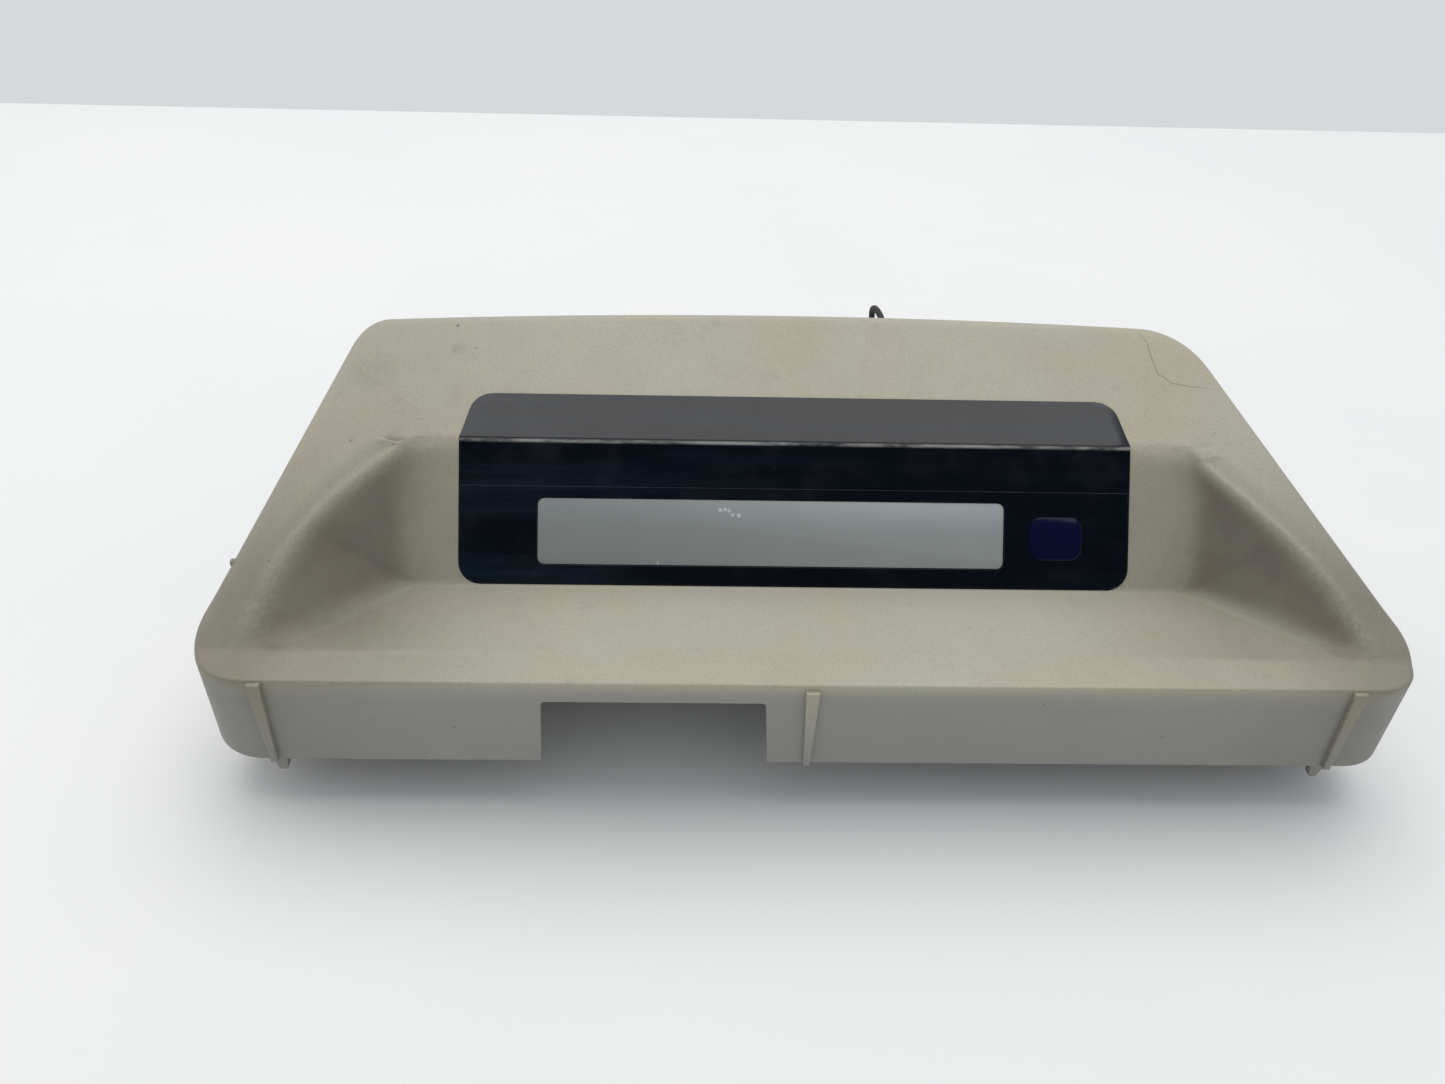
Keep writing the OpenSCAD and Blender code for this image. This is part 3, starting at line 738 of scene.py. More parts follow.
@dataclass(frozen=True)
class GlossBlack:
    """Glossy moulded black of the display lens, with dust, wiped scratches, painted
    reflection and highlight.

    Attributes:
        name: the material's name.
        colour: its main colour, linear.
        wipe_and_reflection: the bluish colour most on the left: wipe marks and a painted
            reflection.
        dust: colour of haze and motes.
        worn_edge_highlight: colour of the crest's pale line, a painted highlight with edge
            wear.
        crest: Y of that painted highlight along the crest in metres, or 0 for none.
        film: how much rougher it is than the bare lens.
    """

    name: str = "black_gloss"
    colour: Colour = srgb(4, 8, 17)
    wipe_and_reflection: Colour = srgb(15, 27, 38)
    dust: Colour = srgb(104, 106, 108)
    worn_edge_highlight: Colour = srgb(176, 176, 172)
    crest: float = 0.0
    film: float = 0.0

    def build(self) -> bpy.types.Material:
        """The lens's material."""
        bench = Palette(self.name)
        haze = bench.span(bench.noise(16, 5, 0.62, shift=1.7), 0.45, 0.8, 0.0, 0.05)
        # painted reflection: bluish streaks strongest on the left, mixed with wipe marks
        wipe_and_reflection_streaks = bench.span(bench.noise(9, 4, 0.65, (0.07, 1, 1), 4.4), 0.4, 0.66)
        leftward = bench.span(bench.along(0), -0.09, 0.02, 0.95, 0.25)
        tone = bench.blend(bench.times(wipe_and_reflection_streaks, leftward), self.colour, self.wipe_and_reflection)
        tone = bench.blend(haze, tone, self.dust)
        # painted highlight: a pale broken line along the crest, partly edge wear
        if self.crest:
            y, reach = bench.along(1), 0.5 * MM
            rising = bench.span(y, self.crest - reach, self.crest)
            falling = bench.span(y, self.crest, self.crest + reach, 1.0, 0.0)
            highlight_rubs = bench.noise(8, 4, 0.7, (0.3, 1, 1), 5.7)
            line = bench.times(rising, falling, bench.span(highlight_rubs, 0.36, 0.6, 0.1, 0.75))
            tone = bench.blend(line, tone, self.worn_edge_highlight)
        motes = bench.span(bench.cells(5.5), 0.018, 0.034, 1.0, 0.0)
        some = bench.span(bench.noise(12, 2, 0.5, shift=6.2), 0.53, 0.6, 0.0, 0.55)
        tone = bench.blend(bench.times(motes, some), tone, self.dust)
        wiped = bench.noise(2.2, 4, 0.7, (0.15, 1.0, 1.0), 3.3)
        cloudy = bench.noise(22, 3, 0.55, shift=2.4)
        gloss = bench.times(bench.maths(wiped, cloudy, "ADD"), 0.5)
        bench.wear(tone, bench.span(gloss, 0.35, 0.68, 0.07 + self.film, 0.2 + self.film))
        bench.bump(bench.noise(7, 2, 0.45, shift=5.1), 0.02)
        bench.bump(bench.noise(0.5, 2, 0.5, shift=0.4), 0.0012)
        bench.set(IOR=1.5, Coat_Weight=0.0)
        return bench.material


@dataclass(frozen=True)
class WindowPane:
    """The display window's clear pane, clouded by its film, grey over the display."""

    name: str = "window_clear"
    colour: Colour = srgb(146, 152, 150)
    lighter: Colour = srgb(161, 166, 165)
    left: Colour = srgb(128, 133, 132)
    cloud: Colour = srgb(134, 140, 138)
    fleck: Colour = srgb(222, 226, 226)
    upper: float = 0.0
    lower: float = 0.0

    def build(self, smudges: Sequence[Mark]) -> bpy.types.Material:
        """The pane's material, paler towards its upper edge.

        Args:
            smudges: place, radius in millimetres and strength of each smudge.

        Returns:
            The material.
        """
        bench = Palette(self.name)
        rise = bench.span(bench.along(2), self.lower, self.upper, 0.0, 1.0)
        tone = bench.blend(rise, self.colour, self.lighter)
        leftward = bench.span(bench.along(0), -0.075, 0.04, 0.8, 0.0)
        tone = bench.blend(leftward, tone, self.left)
        cloud = bench.span(bench.noise(7, 5, 0.6, (0.5, 1, 1), 1.1), 0.4, 0.75, 0.0, 0.18)
        tone = bench.blend(cloud, tone, self.cloud)
        for centre, radius, share in smudges:
            near = bench.near(centre, radius * 0.2, radius)
            tone = bench.blend(bench.times(near, share), tone, self.fleck)
        bench.wear(
            tone, bench.span(bench.noise(4, 4, 0.6, shift=2.6), 0.3, 0.7, 0.12, 0.26)
        )
        bench.bump(bench.noise(3.5, 3, 0.5, shift=7.1), 0.012)
        bench.set(IOR=1.49)
        return bench.material


# ---------- the recess and top of the hood ----------


@dataclass
class HoodForm:
    """The hood's outer form, as planes that run into each other with fillets.

    Attributes hold the drawing's sizes in millimetres and degrees.
    """

    lip: float = 11.0
    ramp_angle: float = 30.0
    crest_y: float = 67.4
    face_angle: float = 55.0
    face_len: float = 42.6
    face_half: float = 113.8
    side_normal: Place = (-0.589, -0.663, 0.463)
    bow_left: float = 10.7
    bow_right: float = 9.3
    face_swell: float = 2.0
    foot_in_left: float = 4.0
    floor_lip: float = 8.0
    bed_fillet: float = 2.0
    side_fillet: Place = (2.2, 4.4, 5.0)  # at the lip, on the floor, up the face
    lip_blend: float = 0.75
    crest_round: float = 1.05
    rim_round: Tuple[float, float] = (1.7, 3.2)  # more at the lip, and at the back
    crest_end_round: float = 1.5
    lens_middle: float = -1.9
    edge_front: float = 0.7
    edge_rear: float = 4.4
    edge_side: float = 2.2
    edge_side_back: Tuple[float, float] = (3.6, 1.6)  # more at the back, left and right
    skirt_h: float = 28.9
    wall: float = 2.5
    corner_left: float = 147.2
    front_r_left: float = 17.5
    corner_right: float = 149.7
    front_r_right: float = 15.0
    rear_r_left: float = 13.0
    rear_r_right: float = 24.0
    side_angle_left: float = 20.7
    side_angle_right: float = 28.0
    rear_bow_r: float = 2500.0
    hood_d: float = 108.0
    step_y: float = 26.0
    step_run: float = 4.0
    lead_x: float = 28.0
    lead_drop: float = 10.0

    def __post_init__(self) -> None:
        """Works out the sizes that follow from the others."""
        self.slope = math.tan(math.radians(self.ramp_angle))
        self.crest_z = self.slope * (self.crest_y - self.lip)
        a = math.radians(self.face_angle)
        self.face_dir = Vector((0, math.cos(a), math.sin(a)))
        self.face_out = Vector((0, -math.sin(a), math.cos(a)))
        b = math.radians(self.ramp_angle)
        self.ramp_dir = Vector((0, math.cos(b), math.sin(b)))
        self.ramp_out = Vector((0, -math.sin(b), math.cos(b)))
        self.foot_y = self.crest_y - self.face_len * math.cos(a)
        self.foot_z = self.crest_z - self.face_len * math.sin(a)
        self.floor_slope = self.foot_z / (self.foot_y - self.floor_lip)
        self.rear_origin = np.array((0.0, self.hood_d - self.rear_bow_r))
        left = math.radians(self.side_angle_left)
        right = math.radians(self.side_angle_right)
        self.normal_left = np.array((-math.cos(left), math.sin(left)))
        self.normal_right = np.array((math.cos(right), math.sin(right)))
        self.hub_left = np.array((-self.corner_left, self.front_r_left))
        self.hub_right = np.array((self.corner_right, self.front_r_right))
        self.reach_left = self.normal_left @ self.hub_left + self.front_r_left
        self.reach_right = self.normal_right @ self.hub_right + self.front_r_right
        self.rear_left = self.rear_centre(
            self.normal_left, self.reach_left, self.rear_r_left
        )
        self.rear_right = self.rear_centre(
            self.normal_right, self.reach_right, self.rear_r_right
        )

    def rear_centre(self, normal: np.ndarray, reach: float, radius: float) -> np.ndarray:
        """Centre of a rear corner's arc, which meets the side and the bowed rear."""
        along = np.array((-normal[1], normal[0])) * math.copysign(1, normal[0])
        start = normal * (reach - radius) - self.rear_origin
        b = start @ along
        c = start @ start - (self.rear_bow_r - radius) ** 2
        return self.rear_origin + start + along * (math.sqrt(b * b - c) - b)

    def rear_at(self, x: float) -> float:
        """Y of the rear wall's outside, across the hood."""
        return self.rear_origin[1] + math.sqrt(self.rear_bow_r**2 - x * x)

    def lead_exit(self) -> Place:
        """The middle of the lead's hole on the rear wall's outside."""
        z = self.slope * (self.hood_d - self.lip) - self.lead_drop
        return self.lead_x, self.rear_at(self.lead_x), z

    def on_face(self, x: float, down: float) -> Matrix:
        """The plane of the recess's rear face at a distance below the crest."""
        corner = spot(x, self.crest_y, self.crest_z) - self.face_dir * down * MM
        return plane_at(corner, ACROSS, self.face_dir)

    @staticmethod
    def joined(
        first: np.ndarray, second: np.ndarray, width: object, step: Step
    ) -> np.ndarray:
        """Two heights run into each other, with a rounding as high as width."""
        way = step.value
        a, b = first * way, second * way
        over = np.maximum(width - np.abs(a - b), 0)
        return way * (np.maximum(a, b) + over * over / (4 * np.maximum(width, 1e-6)))

    def planes(self, x: np.ndarray, y: np.ndarray, inside: float) -> Dict[str, np.ndarray]:
        """Heights of the outer planes, moved in by a wall's thickness.

        Args:
            x: X of each point.
            y: Y of each point.
            inside: how far below the outside, square to each plane.

        Returns:
            The height of each plane at each point.
        """
        face_slope = math.tan(math.radians(self.face_angle))

        def root(slope: float) -> float:
            """How far a slope's inside lies straight below its outside."""
            return inside * math.sqrt(1 + slope * slope)

        ramp = self.slope * (y - self.lip)
        floor = self.floor_slope * (y - self.floor_lip)
        face = self.crest_z - (self.crest_y - y) * face_slope
        bed, top = np.maximum(floor, face), np.maximum(ramp, 0)
        foot, rim = self.side_lines(x, y)
        # The side wall leans from foot to rim, and steepens past both, so that its
        # fillets stay narrow; 2.5 mm keeps it from standing upright at the crest.
        least_run, soft_start = 2.5, 3.0
        far = np.abs(x)
        lean = np.maximum(top - bed, 0) / np.maximum(rim - foot, least_run)
        beyond, within = np.maximum(far - rim, 0), np.maximum(foot - far, 0)
        across = lean * (far - foot) + 1.2 * beyond**2 / (beyond + soft_start)
        across = across - 0.8 * within**2 / (within + soft_start)
        across = across - inside * np.sqrt(1 + 2.2 * lean * lean)
        return {
            "lip": np.zeros_like(x) - inside,
            "ramp": ramp - root(self.slope),
            "floor": floor - root(self.floor_slope),
            "face": face - root(face_slope),
            "side": bed + across,
        }

    def side_lines(self, x: np.ndarray, y: np.ndarray) -> Tuple[np.ndarray, np.ndarray]:
        """Half widths of the recess along the foot and the rim of its side walls.

        The foot is straight along the floor and swells a little up the face; the
        rim bows outwards, each end of the recess by its own amount.

        Args:
            x: X of each point; only its sign counts.
            y: Y of each point.

        Returns:
            The half width at the foot and the half width at the rim.
        """
        nx, ny, nz = self.side_normal
        left = x < 0
        behind = y - self.foot_y
        run = -(ny + self.floor_slope * nz) / nx
        up = slide(y, self.foot_y, self.crest_y)
        swell = self.face_swell * np.sin(math.pi * up)
        foot = self.face_half + np.where(behind < 0, run * behind, swell)
        foot = foot - np.where(left, self.foot_in_left, 0.0) * slide(-behind, 0, 20)
        crest_run = -(ny + self.slope * nz) / nx
        share = slide(y, self.lip, self.crest_y)
        bow = np.where(
            left,
            self.bow_left * np.sin(math.pi * share**1.2) ** 0.7,
            self.bow_right * np.sin(math.pi * share**0.85) ** 0.9,
        )
        rim = self.face_half + crest_run * (y - self.crest_y) + bow
        return foot, rim

    def well(self, p: Dict[str, np.ndarray], y: np.ndarray) -> np.ndarray:
        """Height of the recess: floor, rear face and side walls with their fillets."""
        bed = self.joined(p["floor"], p["face"], self.bed_fillet, Step.VALLEY)
        at_lip, on_floor, up_face = self.side_fillet
        front = at_lip + (on_floor - at_lip) * ease(y, 12, 32)
        wide = front + (up_face - front) * swing(y, self.foot_y + 2, 6.0)
        return self.joined(bed, p["side"], wide, Step.VALLEY)

    def height(self, x: np.ndarray, y: np.ndarray, inside: float = 0.0) -> np.ndarray:
        """Height of the hood's top over its plan.

        Args:
            x: X of each point, in millimetres.
            y: Y of each point.
            inside: 0 for the outside, or the wall's thickness for the inside.

        Returns:
            The height of each point.
        """
        reach = 0.2  # distance over which the slope between top and recess is read

        def both(sx: float, sy: float) -> Tuple[np.ndarray, np.ndarray]:
            """The top without its recess, and the recess, beside the points."""
            p = self.planes(x + sx, y + sy, inside)
            top = self.joined(p["lip"], p["ramp"], self.lip_blend, Step.VALLEY)
            return top, self.well(p, y + sy)

        own = self.planes(x, y, inside)
        steep = slide(own["side"] - np.maximum(own["floor"], own["face"]), 0, 2.5)
        top, low = both(0, 0)
        gap = top - low
        east, north = both(reach, 0), both(0, reach)
        slope = np.hypot(
            (east[0] - east[1] - gap) / reach, (north[0] - north[1] - gap) / reach
        )
        beside = slide(np.abs(x - self.lens_middle), 99.5, 106.5) * slide(y, 50, 60)
        at_lip, at_back = self.rim_round
        rim = at_lip + (at_back - at_lip) * slide(y, 12, 38)
        crest_end = self.crest_end_round * beside
        round_off = self.crest_round + rim * steep + crest_end * (1 - steep)
        return self.joined(top, low, slope * round_off, Step.RIDGE)

    def outline(self, pace: float) -> np.ndarray:
        """The plan outline with the edge's rounding radius.

        Args:
            pace: spacing of its points in millimetres.

        Returns:
            Rows of x, y, outward normal x and y, and edge radius.
        """
        rows: List[Tuple[float, float, float, float]] = []

        def straight(a: np.ndarray, b: np.ndarray, n: np.ndarray) -> None:
            """Adds a straight stretch, with points at both ends of the skirt's step."""
            shares = set(np.linspace(0, 1, int(np.linalg.norm(b - a) / pace) + 2)[:-1])
            for level in (self.step_y, self.step_y + self.step_run):
                if (a[1] - level) * (b[1] - level) < 0:
                    shares.add((level - a[1]) / (b[1] - a[1]))
            for share in sorted(shares):
                p = a + (b - a) * share
                rows.append((p[0], p[1], n[0], n[1]))

        def arc(centre: np.ndarray, radius: float, start: float, end: float) -> None:
            """Adds an arc, counterclockwise between two angles."""
            count = max(int((end - start) * radius / pace), int((end - start) / 0.09)) + 1
            for angle in np.linspace(start, end, count + 1)[:-1]:
                n = np.array((math.cos(angle), math.sin(angle)))
                p = centre + radius * n
                rows.append((p[0], p[1], n[0], n[1]))

        front = np.array((0.0, -1.0))
        out_r = unit2(self.rear_right - self.rear_origin)
        out_l = unit2(self.rear_left - self.rear_origin)
        turn_r, turn_l, rear_r, rear_l = (
            math.atan2(v[1], v[0])
            for v in (self.normal_right, self.normal_left, out_r, out_l)
        )
        left_r, right_r = self.front_r_left, self.front_r_right
        straight(self.hub_left + left_r * front, self.hub_right + right_r * front, front)
        arc(self.hub_right, right_r, -math.pi / 2, turn_r)
        straight(
            self.hub_right + right_r * self.normal_right,
            self.rear_right + self.rear_r_right * self.normal_right,
            self.normal_right,
        )
        arc(self.rear_right, self.rear_r_right, turn_r, rear_r)
        arc(self.rear_origin, self.rear_bow_r, rear_r, rear_l)
        arc(self.rear_left, self.rear_r_left, rear_l, turn_l)
        straight(
            self.rear_left + self.rear_r_left * self.normal_left,
            self.hub_left + left_r * self.normal_left,
            self.normal_left,
        )
        arc(self.hub_left, left_r, turn_l, 1.5 * math.pi)
        table = np.array(rows)
        ahead, behind = np.maximum(-table[:, 3], 0) ** 2, np.maximum(table[:, 3], 0) ** 2
        left, right = self.edge_side_back
        back = np.where(table[:, 2] > 0, right, left) * ease(table[:, 1], 9, 27)
        edge = self.edge_front * ahead + self.edge_rear * behind
        edge += (self.edge_side + back) * table[:, 2] ** 2
        return np.column_stack((table, edge))


class Shell:
    """The hood's wall: its outer skin, inner skin and the rim that joins them.

    The top is one smooth surface whose fillets run into each other at the recess's
    corners, which primitives and bevels don't give, so its points are set by HoodForm.
    """

    def __init__(self, form: HoodForm) -> None:
        """Keeps the form that the shell follows."""
        self.form = form
        self.points: List[Place] = []
        self.faces: List[Tuple[int, ...]] = []

    def foot_at(self, y: np.ndarray) -> np.ndarray:
        """Height of the wall's foot: high under the front skirt, low behind its step."""
        f = self.form
        share = slide(y, f.step_y, f.step_y + f.step_run)
        return -f.skirt_h + (BASE_Z + f.skirt_h) * share

    def skin(self, pace: float, fine: float, inside: float, rings: int) -> List[int]:
        """Adds one skin and returns its foot's points.

        Args:
            pace: spacing along the outline in millimetres.
            fine: scale of the top's spacing, 1 for the outside.
            inside: how far inside the outer surface it lies.
            rings: rings of points up the edge's rounding.

        Returns:
            The indices of the points along the foot.
        """
        rim = self.form.outline(pace)
        x0, y0, nx, ny = rim[:, 0], rim[:, 1], rim[:, 2], rim[:, 3]
        radius = np.maximum(rim[:, 4] - inside, 0.4)
        loops: List[np.ndarray] = []
        for angle in np.linspace(0, math.pi / 2, rings + 1):
            inset = inside + radius * (1 - math.cos(angle))
            x, y = x0 - nx * inset, y0 - ny * inset
            drop = radius * (1 - math.sin(angle))
            loops.append(np.column_stack((x, y, self.form.height(x, y, inside) - drop)))
        base = loops[0].copy()
        base[:, 2] = self.foot_at(y0)
        walls = [base + (loops[0] - base) * share for share in np.linspace(0, 1, 10)[:-1]]
        start = len(self.points)
        count = len(rim)
        for loop in walls + loops:
            self.points.extend(map(tuple, loop))
        for level in range(len(walls) + len(loops) - 1):
            low = start + level * count
            for i in range(count):
                j = (i + 1) % count
                self.faces.append((low + i, low + j, low + count + j, low + count + i))
        last = start + (len(walls) + len(loops) - 1) * count
        self.lid(list(range(last, last + count)), fine, inside)
        return list(range(start, start + count))

    def lid(self, ring: List[int], fine: float, inside: float) -> None:
        """Fills the innermost ring with a graded field of points on the top."""
        edge = np.array([self.points[i][:2] for i in ring])
        runs_y = (
            (-2, 6.6, 1.2), (6.6, 13, 0.4), (13, 39, 0.95), (39, 46.5, 0.6),
            (46.5, 64.5, 1.05), (64.5, 70.2, 0.45), (70.2, 112, 1.4),
        )
        runs_x = ((-170, -108, 0.9), (-108, 108, 2.0), (108, 170, 0.9))
        rows = np.concatenate([np.arange(a, b, s * fine) for a, b, s in runs_y])
        columns = np.concatenate([np.arange(a, b, s * fine) for a, b, s in runs_x])
        nxt = np.roll(edge, -1, axis=0)
        field_points: List[Tuple[float, float]] = []
        for y in rows:
            crosses = (edge[:, 1] - y) * (nxt[:, 1] - y) < 0
            if crosses.sum() != 2:
                continue
            a, b = edge[crosses], nxt[crosses]
            hit = a[:, 0] + (b[:, 0] - a[:, 0]) * (y - a[:, 1]) / (b[:, 1] - a[:, 1])
            inner = columns[(columns > hit.min() + 0.8) & (columns < hit.max() - 0.8)]
            field_points.extend((x, y) for x in inner)
        field_array = np.array(field_points)
        near_edge = field_array[:, 1] < edge[:, 1].min() + 0.6
        near_rear = field_array[:, 1] > self.form.hood_d - 12
        gap = np.full(len(field_array), 9.0)
        for group in (near_edge, near_rear):
            for i in np.nonzero(group)[0]:
                gap[i] = np.hypot(*(edge - field_array[i]).T).min()
        field_array = field_array[gap > 0.7 * min(fine, 1.4)]
        flat = [Vector((float(x), float(y))) for x, y in edge]
        flat += [Vector((float(x), float(y))) for x, y in field_array]
        made = delaunay_2d_cdt(flat, [], [list(range(len(ring)))], 1, 1e-5)
        new_points, new_faces, origins = made[0], made[2], made[3]
        heights = self.form.height(
            np.array([p.x for p in new_points]), np.array([p.y for p in new_points]), inside
        )
        index: List[int] = []
        for k, p in enumerate(new_points):
            source = origins[k][0] if origins[k] else -1
            if 0 <= source < len(ring):
                index.append(ring[source])
            else:
                index.append(len(self.points))
                self.points.append((p.x, p.y, float(heights[k])))
        self.faces.extend(tuple(index[v] for v in face) for face in new_faces)

    def build(self) -> bpy.types.Object:
        """The closed shell as an object."""
        outer = self.skin(1.5, 1.0, 0.0, 6)
        split = len(self.faces)
        inner = self.skin(1.5, 2.0, self.form.wall, 3)
        self.faces[split:] = [tuple(reversed(face)) for face in self.faces[split:]]
        for i in range(len(outer)):
            j = (i + 1) % len(outer)
            self.faces.append((outer[j], outer[i], inner[i], inner[j]))
        return outward(
            mesh_object("hood_cover", [spot(*p) for p in self.points], self.faces)
        )


@dataclass
class LensForm:
    """The bent display lens: a plate down the recess's face with a flange up the ramp.

    Sizes are in millimetres; heights are measured out of the hood's surface.
    """

    form: HoodForm
    centre_x: float = -1.9
    half: float = 97.7
    flange_half: float = 94.2
    flange_len: float = 14.9
    flange_r: float = 6.5
    bend_r: float = 3.2
    foot_r: float = 6.2
    end: float = 42.0

    def half_at(self, t: float, grow: float) -> float:
        """Half width of the flange at a distance up the ramp."""
        side = unit2((self.flange_len, self.half - self.flange_half))
        centre_y = self.flange_len - self.flange_r
        centre_x = self.half - (self.flange_r + side[1] * centre_y) / side[0]
        touch_y = centre_y + self.flange_r * side[1]
        line = self.half + grow / side[0] - t * side[1] / side[0]
        if t <= touch_y:
            return line
        r = self.flange_r + grow
        return centre_x + math.sqrt(max(r * r - (t - centre_y) ** 2, 0))

    def path(self, height: float, end: float, grow: float) -> List[Place]:
        """Points along the plate at one height: Y, Z and half width."""
        f = self.form
        foot_r = self.foot_r + grow
        low = [end - foot_r * (1 - math.cos(a)) for a in np.linspace(0, math.pi / 2, 8)]
        steps = low + [low[-1] - (low[-1] - 2) * k / 20 for k in range(1, 21)]
        rows = []
        for s in steps:
            p = Vector((0, f.crest_y, f.crest_z)) - f.face_dir * s + f.face_out * height
            into = max(s - (end - foot_r), 0)
            inset = foot_r - math.sqrt(max(foot_r**2 - into**2, 0))
            rows.append((p.y, p.z, self.half + grow - inset))
        corner = Vector((0, f.crest_y, f.crest_z))
        middle = (f.face_out + f.ramp_out).normalized()
        half_turn = math.radians(f.face_angle - f.ramp_angle) / 2
        hub = corner - middle * (self.bend_r / math.cos(half_turn))
        for k in range(7):
            angle = math.radians(f.face_angle) - 2 * half_turn * k / 6
            out = Vector((0, -math.sin(angle), math.cos(angle)))
            p = hub + out * (self.bend_r + height)
            rows.append((p.y, p.z, self.half + grow))
        touch = self.flange_len - self.flange_r * 0.77
        far = self.flange_len + grow
        shares = [2.0, 4.0, 6.0, 8.0, touch, 10.8, 11.8, 12.7, 13.5, 14.1, 14.6, 14.85]
        for t in [min(s, far - 0.02) for s in shares] + [far]:
            p = corner + f.ramp_dir * t + f.ramp_out * height
            rows.append((p.y, p.z, self.half_at(t, grow)))
        return rows

    def plate(
        self, name: str, grow: float, top: float, bottom: float, end: float
    ) -> bpy.types.Object:
        """A closed bent plate of the lens's plan between two heights.

        Args:
            name: the object's name.
            grow: how far it is grown all round, in millimetres.
            top: height of its outer side.
            bottom: height of its inner side.
            end: how far down the face it runs.

        Returns:
            The plate.
        """
        columns = [-1 + 2 * k / 40 for k in range(41)]
        points: List[Vector] = []
        faces: List[Tuple[int, ...]] = []
        sides = [self.path(height, end, grow) for height in (top, bottom)]
        rows, width = len(sides[0]), len(columns)
        for side in sides:
            for y, z, half in side:
                points.extend(spot(self.centre_x + half * c, y, z) for c in columns)
        layer = rows * width
        for r in range(rows - 1):
            for c in range(width - 1):
                a = r * width + c
                quad = (a, a + 1, a + width + 1, a + width)
                faces.append(quad)
                faces.append(tuple(layer + v for v in (quad[0], *quad[:0:-1])))
        for r in range(rows - 1):
            for c, turn in ((0, 1), (width - 1, -1)):
                a, b = r * width + c, (r + 1) * width + c
                faces.append((a, b, layer + b, layer + a)[::turn])
        for c in range(width - 1):
            for r, turn in ((0, -1), (rows - 1, 1)):
                a = r * width + c
                faces.append((a, a + 1, layer + a + 1, layer + a)[::turn])
        return outward(mesh_object(name, points, faces))


@dataclass(frozen=True)
class Window:
    """A window in the recess's face.

    Attributes:
        x: the drawing's X of its middle.
        down: how far its middle lies below the crest, along the face.
        width: its width.
        height: its height along the face.
        corner: rounding of its corners.
        hole: how much wider and higher the hood's own opening behind it is.
    """

    x: float
    down: float
    width: float
    height: float
    corner: float
    hole: Tuple[float, float]

    def block(
        self, form: HoodForm, low: float, high: float, gap: float
    ) -> bpy.types.Object:
        """A block the size of the window, less a gap all round."""
        size = (self.width - 2 * gap, self.height - 2 * gap)
        place = form.on_face(self.x, self.down)
        return rounded_block("opening", place, size, low, high, self.corner - gap)

    def opening(self, form: HoodForm, low: float, high: float) -> bpy.types.Object:
        """The cutter of the hood's opening behind the window."""
        size = (self.width + self.hole[0], self.height + self.hole[1])
        place = form.on_face(self.x, self.down)
        return rounded_block("opening", place, size, low, high, 0.6)

    def corner_spot(self, form: HoodForm, right: int, low: int) -> Vector:
        """One of its corners; right and low are -1 or 1."""
        x = self.x + right * self.width / 2
        down = self.down + low * self.height / 2
        return form.on_face(x, down) @ Vector((0, 0, 0.3 * MM))


# X, distance below the crest and size of each fleck seen on the display window
FLECKS = (
    (-24.0, 20.0, 0.9), (-22.6, 19.7, 0.8), (-21.4, 20.1, 0.7),
    (-20.4, 21.3, 0.8), (-18.6, 21.4, 0.9), (-42.0, 35.4, 0.5),
)
DISPLAY_WINDOW = Window(-9.0, 26.6, 136.0, 19.3, 2.0, (4, 2.7))
LAMP_WINDOW = Window(74.2, 27.1, 15.3, 12.5, 3.4, (-3.5, -3.5))


